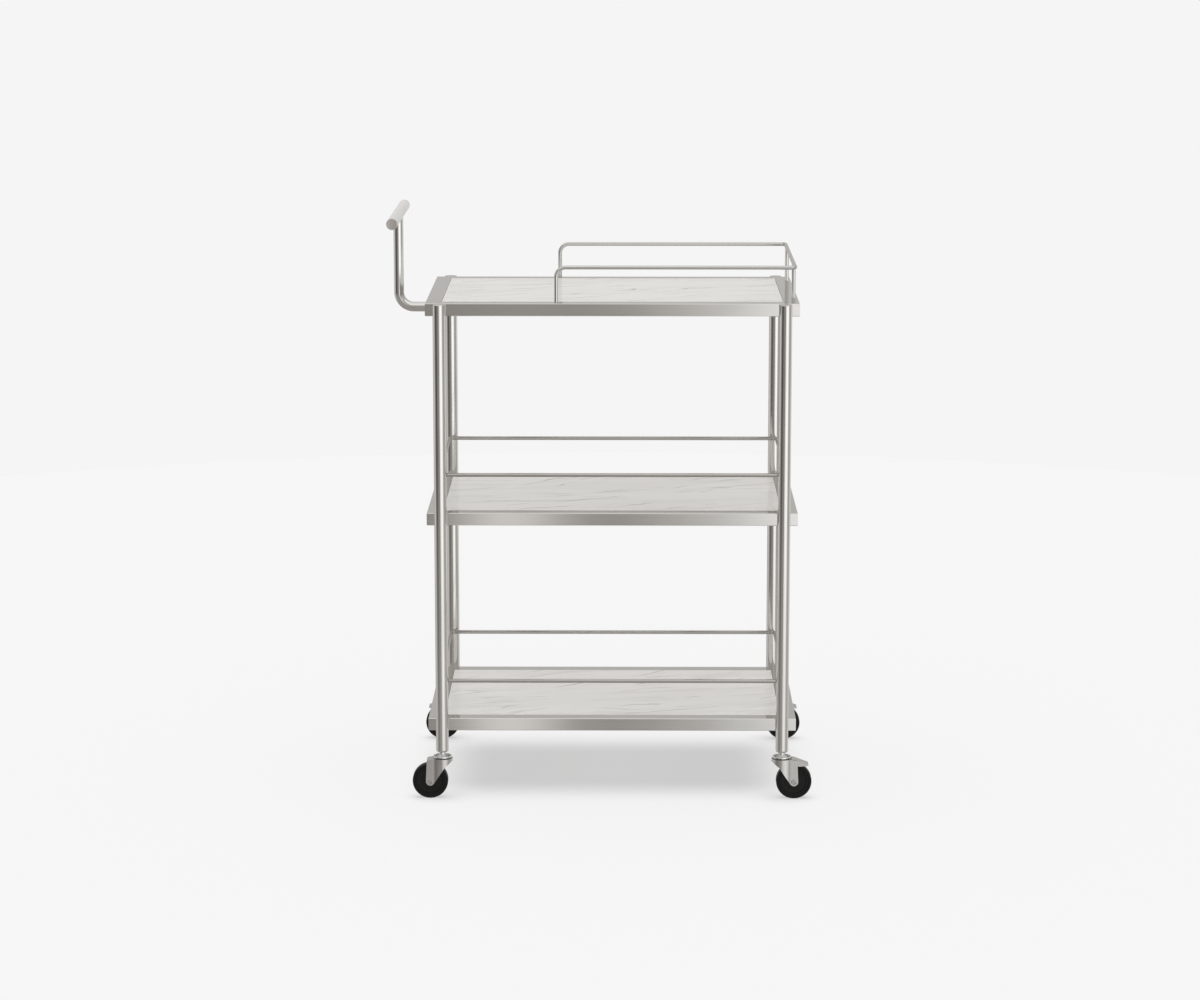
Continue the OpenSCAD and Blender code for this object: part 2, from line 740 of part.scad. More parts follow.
// A fork pressed from sheet: top, round front and two legs
module fork(sx, sy, braked) {
  across = 3 * fork_front_r;
  color(zinc) at_caster(sx, sy) difference() {
    union() {
      intersection() {
        difference() {
          linear_extrude(fork_top_z) fork_plan(fork_front_r, fork_out, 2 * fork_top_l);
          translate([0, 0, -over]) linear_extrude(fork_top_z + 2 * over)
            fork_plan(fork_front_r - fork_t, fork_in, 3 * fork_top_l);
        }
        rotate([90, 0, 0]) linear_extrude(across, center = true) fork_side();
      }
      intersection() {
        linear_extrude(fork_top_z)
          fork_plan(fork_front_r - fork_t / 2, fork_in + fork_t / 2, braked ? braked_top_l : fork_top_l);
        rotate([90, 0, 0]) linear_extrude(across, center = true) fork_top_side();
      }
    }
    shaft(king_d + 2 * run_gap, fork_under_z - over, fork_top_z + over);
    ball_groove();
    translate([trail, 0, axle_z]) cross_shaft(axle_d + 2 * run_gap, across);
    if (braked) translate([brake_pin_x, 0, brake_pin_z]) cross_shaft(brake_pin_d + 2 * run_gap, across);
  }
}

// An axle rivet with a domed head on each side of the fork
module axle_rivet(sx, sy) {
  color(zinc) at_caster(sx, sy) translate([trail, 0, axle_z]) difference() {
    union() {
      cross_shaft(axle_d, fork_out);
      for (side = SIDES) translate([0, side * (fork_out + axle_head_h / 2), 0])
        cross_shaft(axle_head_d, axle_head_h / 2);
    }
    for (side = SIDES) translate([0, side * (fork_out + axle_head_h), 0]) difference() {
      cross_shaft(axle_dimple_d, axle_head_h / 2);
      cross_shaft(axle_dimple_d / 2, axle_head_h);
    }
  }
}

// The sleeve between the fork's legs that the wheel turns on
module axle_sleeve(sx, sy) {
  color(dark_steel) at_caster(sx, sy) translate([trail, 0, axle_z]) difference() {
    cross_shaft(sleeve_d, fork_in - run_gap);
    cross_shaft(axle_d + 2 * run_gap, fork_in + over);
  }
}

// A wheel's core: hub, dished disc and rim
module wheel_core(sx, sy) {
  half_w = wheel_w / 2 - core_inset;
  dish_out_r = core_r - core_rim;
  color(black) at_caster(sx, sy) translate([trail, 0, axle_z]) difference() {
    union() {
      cross_shaft(2 * (core_r - run_gap), half_w);
      cross_shaft(hub_d, fork_in - hub_gap);
    }
    for (side = SIDES) translate([0, side * half_w, 0]) difference() {
      cross_shaft(2 * dish_out_r, wheel_dish);
      cross_shaft(hub_d, 2 * wheel_dish);
    }
    cross_shaft(sleeve_d + 2 * run_gap, fork_in + over);
  }
}

// A tyre with round shoulders
module tyre(sx, sy) {
  r = wheel_d / 2;
  inner = r - tyre_round;
  color(black) at_caster(sx, sy) translate([trail, 0, axle_z]) rotate([90, 0, 0])
    rotate_extrude($fn = 96) difference() {
      union() {
        translate([core_r, -wheel_w / 2]) square([inner - core_r, wheel_w]);
        translate([core_r, tyre_round - wheel_w / 2]) square([tyre_t, wheel_w - 2 * tyre_round]);
        for (side = SIDES) translate([inner, side * (wheel_w / 2 - tyre_round)]) circle(tyre_round);
      }
      translate([0, -wheel_w]) square([core_r, 2 * wheel_w]);
    }
}

// Height of a pedal's tread at a distance x from the swivel's axis
function tread_z(x) = fork_top_z + pedal_rise - max(0, x - brake_pin_x) * tan(pedal_slope);

// The middle of the pedal's rolled end, seen from the side
function roll_centre() =
  let (x = pedal_reach - roll_d / 2) [x, tread_z(x) - roll_d / 2 / cos(pedal_slope)];

// A pedal's cheek seen from the side
module cheek_side() {
  pin = [brake_pin_x, brake_pin_z];
  roll = roll_centre();
  belly_x = (brake_pin_x + pedal_reach) / 2 - cheek_belly / 3;
  belly_z = tread_z(belly_x) - cheek_depth;
  polygon([
    [brake_pin_x - ear_r, brake_pin_z], [brake_pin_x - ear_r, tread_z(0)], [brake_pin_x, tread_z(0)],
    [roll[0], roll[1] + roll_d / 2 / cos(pedal_slope)], [roll[0], roll[1] - roll_d / 2],
    [belly_x + cheek_belly / 2, belly_z], [belly_x - cheek_belly / 2, belly_z],
    [brake_pin_x + ear_r / 2, brake_pin_z - ear_r * 0.8]
  ]);
  translate(pin) circle(ear_r);
  translate(roll) circle(d = roll_d);
}

// A pedal's tread plate seen from the side
module tread_side() {
  x0 = brake_pin_x - ear_r;
  x1 = roll_centre()[0];
  drop = pedal_t / cos(pedal_slope);
  polygon([
    [x0, tread_z(x0)], [brake_pin_x, tread_z(x0)], [x1, tread_z(x1)],
    [x1, tread_z(x1) - drop], [brake_pin_x, tread_z(x0) - drop], [x0, tread_z(x0) - drop]
  ]);
}

// A brake pedal: tread, two cheeks beside the tyre, rolled end and a bar that presses on the tyre
module brake_pedal(sx, sy) {
  bar_x = brake_pin_x + shoe_x;
  bar_z = tread_z(bar_x) - (pedal_t + shoe_d) / 2 / cos(pedal_slope);
  color(zinc) at_caster(sx, sy) difference() {
    union() {
      rotate([90, 0, 0]) linear_extrude(2 * pedal_half_w, center = true) tread_side();
      for (side = SIDES) translate([0, side * (pedal_half_w - pedal_t / 2), 0])
        rotate([90, 0, 0]) linear_extrude(pedal_t, center = true) cheek_side();
      translate([roll_centre()[0], 0, roll_centre()[1]]) cross_shaft(roll_d, pedal_half_w);
      translate([bar_x, 0, bar_z]) cross_shaft(shoe_d, pedal_half_w);
    }
    translate([brake_pin_x, 0, brake_pin_z]) cross_shaft(brake_pin_d + 2 * run_gap, pedal_half_w + over);
  }
}

// The pin that a pedal turns on, flush with the fork
module brake_pin(sx, sy) {
  color(zinc) at_caster(sx, sy) translate([brake_pin_x, 0, brake_pin_z]) cross_shaft(brake_pin_d, fork_out);
}

post(LEFT, FRONT);  // post_front_left
post(RIGHT, FRONT);  // post_front_right
post(LEFT, REAR);  // post_rear_left
post(RIGHT, REAR);  // post_rear_right
post_top_caps();
post_foot_sockets();
shelf_frame(2);  // shelf_frame_top
shelf_frame(1);  // shelf_frame_middle
shelf_frame(0);  // shelf_frame_bottom
shelf_panel(2);  // shelf_panel_top
shelf_panel(1);  // shelf_panel_middle
shelf_panel(0);  // shelf_panel_bottom
shelf_stiffeners();
shelf_bolts();
post_bushes();
rail(1);  // rail_middle
rail(0);  // rail_bottom
guard_rail();
guard_legs_right();
guard_screws();
handle_tube();
handle_grip();
grip_end_caps();
handle_screws();
handle_nuts();
raceway_caps();
bearing_balls();
stem(LEFT, FRONT);  // stem_front_left
stem(RIGHT, FRONT);  // stem_front_right
stem(LEFT, REAR);  // stem_rear_left
stem(RIGHT, REAR);  // stem_rear_right
fork(LEFT, FRONT, false);  // fork_front_left
fork(RIGHT, FRONT, true);  // fork_front_right
fork(LEFT, REAR, true);  // fork_rear_left
fork(RIGHT, REAR, true);  // fork_rear_right
axle_rivet(LEFT, FRONT);  // axle_rivet_front_left
axle_rivet(RIGHT, FRONT);  // axle_rivet_front_right
axle_rivet(LEFT, REAR);  // axle_rivet_rear_left
axle_rivet(RIGHT, REAR);  // axle_rivet_rear_right
axle_sleeve(LEFT, FRONT);  // axle_sleeve_front_left
axle_sleeve(RIGHT, FRONT);  // axle_sleeve_front_right
axle_sleeve(LEFT, REAR);  // axle_sleeve_rear_left
axle_sleeve(RIGHT, REAR);  // axle_sleeve_rear_right
wheel_core(LEFT, FRONT);  // wheel_core_front_left
wheel_core(RIGHT, FRONT);  // wheel_core_front_right
wheel_core(LEFT, REAR);  // wheel_core_rear_left
wheel_core(RIGHT, REAR);  // wheel_core_rear_right
tyre(LEFT, FRONT);  // tyre_front_left
tyre(RIGHT, FRONT);  // tyre_front_right
tyre(LEFT, REAR);  // tyre_rear_left
tyre(RIGHT, REAR);  // tyre_rear_right
brake_pedal(RIGHT, FRONT);  // brake_pedal_front_right
brake_pedal(LEFT, REAR);  // brake_pedal_rear_left
brake_pedal(RIGHT, REAR);  // brake_pedal_rear_right
brake_pin(RIGHT, FRONT);  // brake_pin_front_right
brake_pin(LEFT, REAR);  // brake_pin_rear_left
brake_pin(RIGHT, REAR);  // brake_pin_rear_right
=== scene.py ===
"""Looks of the bar cart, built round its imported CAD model.

Each sub-assembly of the cart is a class that models the pieces that need more than their CAD
solid and gives every piece its finish. Places and sizes are in metres in the CAD model's own
frame, and the sections of turned pieces are in millimetres.
"""

import json
import logging
import math
from dataclasses import dataclass
from enum import Enum
from typing import Callable

import bpy
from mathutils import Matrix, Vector

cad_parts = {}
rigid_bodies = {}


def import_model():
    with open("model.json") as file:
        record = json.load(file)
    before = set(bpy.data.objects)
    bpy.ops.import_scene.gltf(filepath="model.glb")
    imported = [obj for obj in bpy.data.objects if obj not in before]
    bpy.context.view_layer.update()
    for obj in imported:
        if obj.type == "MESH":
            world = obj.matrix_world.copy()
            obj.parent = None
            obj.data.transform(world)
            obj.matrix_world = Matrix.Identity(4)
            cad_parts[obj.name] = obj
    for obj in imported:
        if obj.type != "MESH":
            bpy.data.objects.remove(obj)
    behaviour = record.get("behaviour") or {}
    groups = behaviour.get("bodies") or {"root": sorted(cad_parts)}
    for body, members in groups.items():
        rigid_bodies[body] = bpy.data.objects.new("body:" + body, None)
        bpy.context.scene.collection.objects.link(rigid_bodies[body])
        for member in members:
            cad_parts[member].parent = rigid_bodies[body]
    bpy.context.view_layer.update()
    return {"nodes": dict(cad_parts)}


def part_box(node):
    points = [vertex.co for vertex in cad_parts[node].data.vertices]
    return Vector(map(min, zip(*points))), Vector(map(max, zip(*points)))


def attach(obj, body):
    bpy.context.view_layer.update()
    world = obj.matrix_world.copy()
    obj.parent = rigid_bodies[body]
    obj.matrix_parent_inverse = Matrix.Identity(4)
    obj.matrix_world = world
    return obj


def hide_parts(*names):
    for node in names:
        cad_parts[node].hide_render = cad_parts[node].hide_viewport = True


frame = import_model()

LOG = logging.getLogger("bar_cart")
MM = 0.001
NEAR = 0.001 * MM  # how exactly a point is found by its place
SAME = 0.002 * MM  # points nearer to each other than this are merged
NOISE = (0.3, 0.7)  # the range that a noise mostly fills
FLAT = math.radians(0.2)  # faces that bend less than this are one flat face
FACE_WEIGHT = 80  # how closely a rounded edge's shading follows the flat faces beside it
CASTERS = ("front_left", "front_right", "rear_left", "rear_right")
BRAKED = ("front_right", "rear_left", "rear_right")
LEVELS = ("top", "middle", "bottom")

Pair = tuple[float, float]
Triple = tuple[float, float, float]
Colour = Triple
Section = tuple[Pair, ...]
Inputs = dict[int | str, object]
Material = bpy.types.Material
Object = bpy.types.Object
Socket = bpy.types.NodeSocket


class Grain(Enum):
    """Direction in which a metal surface is brushed."""

    ALONG_X = "along x"
    ALONG_Y = "along y"
    ALONG_Z = "along z"
    MITRED = "along each side of a frame"
    NONE = "none"


# ---------------- shader building


class Shader:
    """A node tree that is built node by node."""

    def __init__(self, tree: bpy.types.NodeTree) -> None:
        """Empties the node tree of a material or a world."""
        self.tree = tree
        tree.nodes.clear()

    def node(self, kind: str, inputs: Inputs | None = None, **settings: object) -> bpy.types.Node:
        """Adds a node.

        Args:
            kind: The node's type name.
            inputs: A value or a socket for each input, by the input's name or number.
            settings: Attributes of the node to set.

        Returns:
            The new node.
        """
        made = self.tree.nodes.new(kind)
        for name, value in settings.items():
            setattr(made, name, value)
        for name, value in (inputs or {}).items():
            if isinstance(value, Socket):
                self.tree.links.new(value, made.inputs[name])
            else:
                made.inputs[name].default_value = value
        return made

    def math(self, operation: str, a: object, b: object = 0.0, clamp: bool = False) -> Socket:
        """A Math node's result on two values or sockets, kept between 0 and 1 if clamp is set."""
        return self.node("ShaderNodeMath", {0: a, 1: b}, operation=operation, use_clamp=clamp).outputs[0]

    def parts(self, vector: Socket) -> bpy.types.NodeOutputs:
        """The sockets of a vector's X, Y and Z."""
        return self.node("ShaderNodeSeparateXYZ", {0: vector}).outputs

    def object_point(self, scale: Triple = (1.0, 1.0, 1.0), turn: Triple = (0.0, 0.0, 0.0)) -> Socket:
        """The surface point in Object coordinates, turned and then scaled.

        Args:
            scale: Scale along the three axes.
            turn: Turn about the three axes, in degrees.

        Returns:
            The point's socket.
        """
        here = self.node("ShaderNodeTexCoord").outputs["Object"]
        turned = self.node("ShaderNodeMapping", {"Vector": here, "Rotation": [math.radians(a) for a in turn]})
        stretch = {0: turned.outputs["Vector"], 1: scale}
        return self.node("ShaderNodeVectorMath", stretch, operation="MULTIPLY").outputs["Vector"]

    def noise(self, point: Socket, detail: float = 2.0, distortion: float = 0.0) -> Socket:
        """A noise from 0 to 1 at a point in cycles, with some finer layers and some warp."""
        inputs = {"Scale": 1.0, "Detail": detail, "Distortion": distortion, "Vector": point}
        return self.node("ShaderNodeTexNoise", inputs).outputs["Fac"]

    def spread(self, value: Socket, low: float, high: float, out: Pair = (0.0, 1.0)) -> Socket:
        """Maps a value from the range between low and high to another one, smoothly and clamped."""
        inputs = {"Value": value, "From Min": low, "From Max": high, "To Min": out[0], "To Max": out[1]}
        return self.node("ShaderNodeMapRange", inputs, interpolation_type="SMOOTHSTEP").outputs["Result"]

    def blend(self, factor: Socket, a: Socket | Colour, b: Socket | Colour) -> Socket:
        """Mixes two colours by the share of the second one."""
        a, b = ((*colour, 1.0) if isinstance(colour, tuple) else colour for colour in (a, b))
        return self.node("ShaderNodeMix", {0: factor, 6: a, 7: b}, data_type="RGBA").outputs[2]

    def scaled_sum(self, colour: Socket, scale: float, extra: Socket) -> Socket:
        """Scales a colour and adds the same amount to its three parts."""
        inputs = {0: colour, 1: (scale,) * 3, 2: extra}
        return self.node("ShaderNodeVectorMath", inputs, operation="MULTIPLY_ADD").outputs["Vector"]

    def bump(self, height: Socket, strength: float, distance: float) -> Socket:
        """The normal bent by a height from 0 to 1, with the share that shows and its size in metres."""
        inputs = {"Strength": strength, "Distance": distance, "Height": height}
        return self.node("ShaderNodeBump", inputs).outputs["Normal"]


# ---------------- finishes


@dataclass(frozen=True)
class Finish:
    """A finish whose colour, roughness and fine relief are drawn by nodes.

    Attributes:
        name: The material's name.
        colour: Main colour.
        roughness: Middle roughness.
    """

    name: str
    colour: Colour
    roughness: float

    def rough(self, tree: Shader, tone: Socket, vary: Pair) -> Socket:
        """The roughness that follows a noise, between two shares of the middle roughness."""
        return tree.spread(tone, *NOISE, (self.roughness * vary[0], self.roughness * vary[1]))

    def inputs(self, tree: Shader) -> Inputs:
        """The surface shader's inputs: sockets, and numbers that are the same all over."""
        raise NotImplementedError

    def material(self) -> Material:
        """Makes the finish as a material.

        Returns:
            The material.
        """
        made = bpy.data.materials.new(self.name)
        made.use_nodes = True
        tree = Shader(made.node_tree)
        surface = tree.node("ShaderNodeBsdfPrincipled", self.inputs(tree))
        tree.node("ShaderNodeOutputMaterial", {"Surface": surface.outputs[0]})
        return made


@dataclass(frozen=True)
class BrushedMetal(Finish):
    """A metal finish with fine brush lines.

    Attributes:
        grain: Direction of the brush lines.
        line_w: Width of a brush line.
        line_l: Length of a brush line.
        depth: Depth of the brush lines.
        relief: Share of that depth that shows.
        cloud: How far broad patches change the tone.
        metal: Share of the surface that mirrors as metal; the rest is matt.
        middle: Middle of the frame in X and Y, where the grain is mitred.
        half: Half the frame's size in X and Y, where the grain is mitred.
        coarse: Width and length of a coarse line, in fine lines.
        patches: Number of broad patches in a metre.
        vary: Least and most roughness, in shares of the middle one.
    """

    grain: Grain = Grain.ALONG_Z
    line_w: float = 0.35 * MM
    line_l: float = 40 * MM
    depth: float = 0.0015 * MM
    relief: float = 0.6
    cloud: float = 0.05
    metal: float = 1.0
    middle: Pair = (0.0, 0.0)
    half: Pair = (0.28, 0.175)
    coarse: Pair = (6.0, 5.0)
    patches: float = 9.0
    vary: Pair = (0.85, 1.15)

    def lines(self, tree: Shader, grain: Grain) -> Socket:
        """Fine and coarse brush lines in one direction.

        Args:
            tree: The material's tree.
            grain: The direction, or none.

        Returns:
            The height's socket, from 0 to 1.
        """
        layers = []
        for wide, long in ((1.0, 1.0), self.coarse):
            across, along = 1 / (wide * self.line_w), 1 / (long * self.line_l)
            scale = {
                Grain.ALONG_X: (along, across, across),
                Grain.ALONG_Y: (across, along, across),
                Grain.ALONG_Z: (across, across, along),
                Grain.NONE: (across, across, across),
            }[grain]
            layers.append(tree.math("MULTIPLY", tree.noise(tree.object_point(scale), detail=3.0), 0.5))
        return tree.math("ADD", *layers)

    def mitred_lines(self, tree: Shader) -> Socket:
        """Brush lines along each side of a frame, which meet at 45 degrees in its corners.

        Args:
            tree: The material's tree.

        Returns:
            The height's socket, from 0 to 1.
        """
        in_x, in_y = (
            tree.math("SUBTRACT", half, tree.math("ABSOLUTE", tree.math("SUBTRACT", part, middle)))
            for part, middle, half in zip(tree.parts(tree.object_point()), self.middle, self.half)
        )
        along_x, along_y = self.lines(tree, Grain.ALONG_X), self.lines(tree, Grain.ALONG_Y)
        inputs = {0: tree.math("LESS_THAN", in_x, in_y), 2: along_x, 3: along_y}
        return tree.node("ShaderNodeMix", inputs, data_type="FLOAT").outputs[0]

    def inputs(self, tree: Shader) -> Inputs:
        """Draws the lines, and patches that change the tone and the roughness with them.

        Args:
            tree: The material's tree.

        Returns:
            The surface shader's inputs.
        """
        lines = self.mitred_lines(tree) if self.grain is Grain.MITRED else self.lines(tree, self.grain)
        patches = tree.noise(tree.object_point((self.patches,) * 3), detail=3.0)
        tone = tree.math("ADD", tree.math("MULTIPLY", lines, 0.5), tree.math("MULTIPLY", patches, 0.5))
        dark = tuple(c * (1 - self.cloud) for c in self.colour)
        light = tuple(min(1.0, c * (1 + self.cloud)) for c in self.colour)
        return {
            "Metallic": self.metal,
            "Base Color": tree.blend(tree.spread(tone, *NOISE), dark, light),
            "Roughness": self.rough(tree, tone, self.vary),
            "Normal": tree.bump(lines, self.relief, self.depth),
        }


@dataclass(frozen=True)
class Veins:
    """One family of thin, wandering, broken veins.

    Attributes:
        gap: Distance between two veins.
        width: Width of a vein.
        turn: Turn of this family from the others' direction, in degrees.
        kept: Level of a broad noise above which the veins show.
        strength: Share of the vein's colour in the middle of a vein.
        fade: How far above the kept level they show in full.
        askew: Turn of the breaks from the veins' direction, in degrees.
        breaks: Number of breaks in a metre, along and across.
        waves: Number of long waves in a metre, along and across.
        ripples: Number of short waves in a metre, along and across.
        sway: How far the long and the short waves carry a vein, in gaps.
    """

    gap: float
    width: float
    turn: float
    kept: float
    strength: float
    fade: float = 0.12
    askew: float = 12.0
    breaks: Triple = (9.0, 24.0, 24.0)
    waves: Triple = (3.5, 8.0, 8.0)
    ripples: Triple = (16.0, 26.0, 26.0)
    sway: Pair = (3.2, 0.55)

    def layer(self, tree: Shader, run: float) -> Socket:
        """Draws the veins.

        Args:
            tree: The material's tree.
            run: Direction of all the veins about the vertical, in degrees.

        Returns:
            The share of the vein's colour.
        """
        way = (0.0, 0.0, run + self.turn)
        across = tree.parts(tree.object_point(turn=way))["Y"]
        long = tree.noise(tree.object_point(self.waves, way), detail=1.0)
        short = tree.noise(tree.object_point(self.ripples, way), detail=3.0)
        swings = (tree.math("MULTIPLY", wave, far) for wave, far in zip((long, short), self.sway))
        line = tree.math("ADD", tree.math("MULTIPLY", across, 1 / self.gap), tree.math("ADD", *swings))
        off = tree.math("ABSOLUTE", tree.math("SUBTRACT", tree.math("FRACT", line), 0.5))
        vein = tree.spread(off, 0.0, self.width / self.gap, (1.0, 0.0))
        broken = tree.noise(tree.object_point(self.breaks, (0.0, 0.0, run + self.turn + self.askew)), detail=2.0)
        shown = tree.math("MULTIPLY", vein, tree.spread(broken, self.kept, self.kept + self.fade))
        return tree.math("MULTIPLY", shown, self.strength)


@dataclass(frozen=True)
class VeinedPanel(Finish):
    """A pale laminated panel printed with soft grey stone veins.

    Attributes:
        vein: Colour in the middle of a full vein.
        run: Direction of the veins about the vertical, in degrees.
        families: The families of veins.
        clouds: Number of soft clouds in a metre, along and across.
        cloud_span: Level of a noise at which a cloud starts, and is full.
        haze: Most that the clouds add to the veins.
        tooth: Number of the laminate's grains in a metre.
        tooth_h: Height of a grain.
        relief: Share of that height that shows.
        gloss: Strength of its mirror image, where 0.5 is plain plastic's.
        vary: Least and most roughness, in shares of the middle one.
    """

    vein: Colour
    run: float = -4.0
    families: tuple[Veins, ...] = (
        Veins(34 * MM, 2.2 * MM, -6.0, 0.5, 0.6),
        Veins(44 * MM, 2.6 * MM, -27.0, 0.5, 0.8),
        Veins(60 * MM, 16 * MM, -14.0, 0.42, 0.12),
    )
    clouds: Triple = (5.0, 22.0, 22.0)
    cloud_span: Pair = (0.38, 0.7)
    haze: float = 0.1
    tooth: float = 900.0
    tooth_h: float = 0.01 * MM
    relief: float = 0.1
    gloss: float = 0.4
    vary: Pair = (0.9, 1.1)

    def inputs(self, tree: Shader) -> Inputs:
        """Draws the veins, the clouds between them and the laminate's grain.

        Args:
            tree: The material's tree.

        Returns:
            The surface shader's inputs.
        """
        veins, *others = (family.layer(tree, self.run) for family in self.families)
        for other in others:
            veins = tree.math("MAXIMUM", veins, other)
        cloud = tree.noise(tree.object_point(self.clouds, (0.0, 0.0, self.run)), detail=4.0, distortion=0.3)
        haze = tree.spread(cloud, *self.cloud_span, (0.0, self.haze))
        strength = tree.math("ADD", veins, haze, clamp=True)
        tooth = tree.noise(tree.object_point((self.tooth,) * 3), detail=1.0)
        return {
            "Specular IOR Level": self.gloss,
            "Base Color": tree.blend(strength, self.colour, self.vein),
            "Roughness": self.rough(tree, tooth, self.vary),
            "Normal": tree.bump(tooth, self.relief, self.tooth_h),
        }


@dataclass(frozen=True)
class BlackMoulding(Finish):
    """Black moulded plastic or rubber with a faint skin.

    Attributes:
        skin: Height of the moulded skin.
        relief: Share of that height that shows.
        pores: Size of the skin's cells.
        scuffs: Number of scuffed patches in a metre.
        scuff_span: Level of a noise at which a patch starts, and is full.
        scuffed: What a full scuff multiplies the colour by, and then adds to it.
        worn: Share of a full scuff in a full patch.
        gloss: Strength of its mirror image, where 0.5 is plain plastic's.
        vary: Least and most roughness, in shares of the middle one.
    """

    skin: float = 0.02 * MM
    relief: float = 0.4
    pores: float = 0.8 * MM
    scuffs: float = 60.0
    scuff_span: Pair = (0.45, 0.8)
    scuffed: Pair = (1.7, 0.002)
    worn: float = 0.5
    gloss: float = 0.25
    vary: Pair = (0.85, 1.2)

    def inputs(self, tree: Shader) -> Inputs:
        """Draws the skin and the scuffs.

        Args:
            tree: The material's tree.

        Returns:
            The surface shader's inputs.
        """
        fine = tree.noise(tree.object_point((1 / self.pores,) * 3), detail=3.0)
        scuffs = tree.noise(tree.object_point((self.scuffs,) * 3), detail=4.0, distortion=0.5)
        share = tree.spread(scuffs, *self.scuff_span, (0.0, self.worn))
        pale = tuple(c * self.scuffed[0] + self.scuffed[1] for c in self.colour)
        return {
            "Specular IOR Level": self.gloss,
            "Base Color": tree.blend(share, self.colour, pale),
            "Roughness": self.rough(tree, scuffs, self.vary),
            "Normal": tree.bump(fine, self.relief, self.skin),
        }


class Finishes:
    """All the finishes of the cart, made once and shared."""

    def __init__(self) -> None:
        """Makes the materials."""
        metal = BrushedMetal
        steel: Colour = (0.69, 0.682, 0.66)
        low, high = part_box("shelf_frame_top")
        middle = ((low.x + high.x) / 2, (low.y + high.y) / 2)
        half = ((high.x - low.x) / 2, (high.y - low.y) / 2)
        mitred = {"depth": 0.0008 * MM, "middle": middle, "half": half}
        rod = {"line_l": 20 * MM, "depth": 0.0001 * MM, "cloud": 0.02}
        satin = {"line_l": 60 * MM, "depth": 0.0004 * MM, "cloud": 0.015, "metal": 0.35}
        plate = {"line_l": 14 * MM, "cloud": 0.08}
        bright = {"depth": 0.0005 * MM}
        self.post = metal("post_steel", steel, 0.14, Grain.ALONG_Z).material()
        self.shelf = metal("shelf_steel", steel, 0.055, Grain.MITRED, **mitred).material()
        # painted shade: the rails round the lower shelves get a darker copy of the rod steel, standing in for
        # the shade under the shelf above
        self.rail = metal("rail_steel", (0.53, 0.518, 0.498), 0.18, Grain.ALONG_X, **rod).material()
        self.rod_x = metal("rod_steel", (0.64, 0.632, 0.612), 0.18, Grain.ALONG_X, **rod).material()
        self.rod_z = metal("rod_leg_steel", steel, 0.18, Grain.ALONG_Z, **rod).material()
        self.handle = metal("handle_steel", steel, 0.1, Grain.ALONG_Z).material()
        self.grip = metal("grip_satin", (0.82, 0.815, 0.803), 0.34, Grain.ALONG_Y, **satin).material()
        self.grip_cap = metal("grip_cap_steel", (0.6, 0.575, 0.55), 0.36, Grain.ALONG_X).material()
        self.zinc = metal("zinc_plate", (0.6, 0.59, 0.575), 0.25, Grain.ALONG_Z, **plate).material()
        self.polished = metal("bright_zinc", (0.8, 0.797, 0.79), 0.18, Grain.NONE, **bright).material()
        self.fastener = metal("fastener_zinc", (0.7, 0.7, 0.68), 0.28, Grain.NONE).material()
        self.rivet = metal("rivet_steel", (0.5, 0.49, 0.48), 0.12, Grain.NONE).material()
        self.ball = metal("ball_steel", (0.7, 0.7, 0.7), 0.08, Grain.NONE, **bright).material()
        self.plain = metal("plain_steel", (0.42, 0.41, 0.4), 0.35, Grain.NONE).material()
        self.panel = VeinedPanel("panel_laminate", (0.865, 0.853, 0.832), 0.14, (0.36, 0.335, 0.31)).material()
        self.panel_edge = VeinedPanel("panel_edge_band", (0.81, 0.8, 0.78), 0.35, (0.74, 0.73, 0.71)).material()
        self.core = BlackMoulding("wheel_core_plastic", (0.0042, 0.004, 0.0039), 0.36).material()
        self.tyre = BlackMoulding("tyre_rubber", (0.0045, 0.0042, 0.004), 0.42).material()


# ---------------- dressing


def dress(piece: Object, material: Material) -> None:
    """Gives a piece or a CAD node one material all over."""
    piece.data.materials.clear()
    piece.data.materials.append(material)


def dress_nodes(finishes: dict[str, Material]) -> None:
    """Dresses the CAD nodes whose names start with the given words.

    Args:
        finishes: Start of the nodes' names and their finish.
    """
    for start, material in finishes.items():
        for name, node in frame["nodes"].items():
            if name.startswith(start):
                dress(node, material)
                LOG.info("%s keeps its solid, in %s", name, material.name)


# ---------------- modelling


def deselect() -> None:
    """Leaves nothing selected."""
    if bpy.context.object is not None and bpy.context.object.mode != "OBJECT":
        bpy.ops.object.mode_set(mode="OBJECT")
    bpy.ops.object.select_all(action="DESELECT")


def pick(piece: Object) -> None:
    """Selects one piece and makes it active.

    Args:
        piece: The piece.
    """
    deselect()
    piece.select_set(True)
    bpy.context.view_layer.objects.active = piece


def rename(piece: Object, name: str) -> None:
    """Names a piece and its mesh alike."""
    piece.name = name
    piece.data.name = name


def select_points(piece: Object, wanted: Callable[[Vector], bool]) -> None:
    """Selects, in the open piece, the points at the wanted places.

    Args:
        piece: The piece that is open for editing.
        wanted: Says of a place whether its point is selected.
    """
    bpy.ops.mesh.select_mode(type="VERT")
    bpy.ops.mesh.select_all(action="DESELECT")
    bpy.ops.object.mode_set(mode="OBJECT")
    for point in piece.data.vertices:
        point.select = wanted(point.co)
    bpy.ops.object.mode_set(mode="EDIT")


def apply_modifier(piece: Object, kind: str, **settings: object) -> None:
    """Adds a modifier to a piece and applies it.

    Args:
        piece: The piece, picked.
        kind: The modifier's type.
        settings: Its settings.
    """
    bpy.ops.object.modifier_add(type=kind)
    modifier = piece.modifiers[-1]
    for name, value in settings.items():
        setattr(modifier, name, value)
    bpy.ops.object.modifier_apply(modifier=modifier.name)


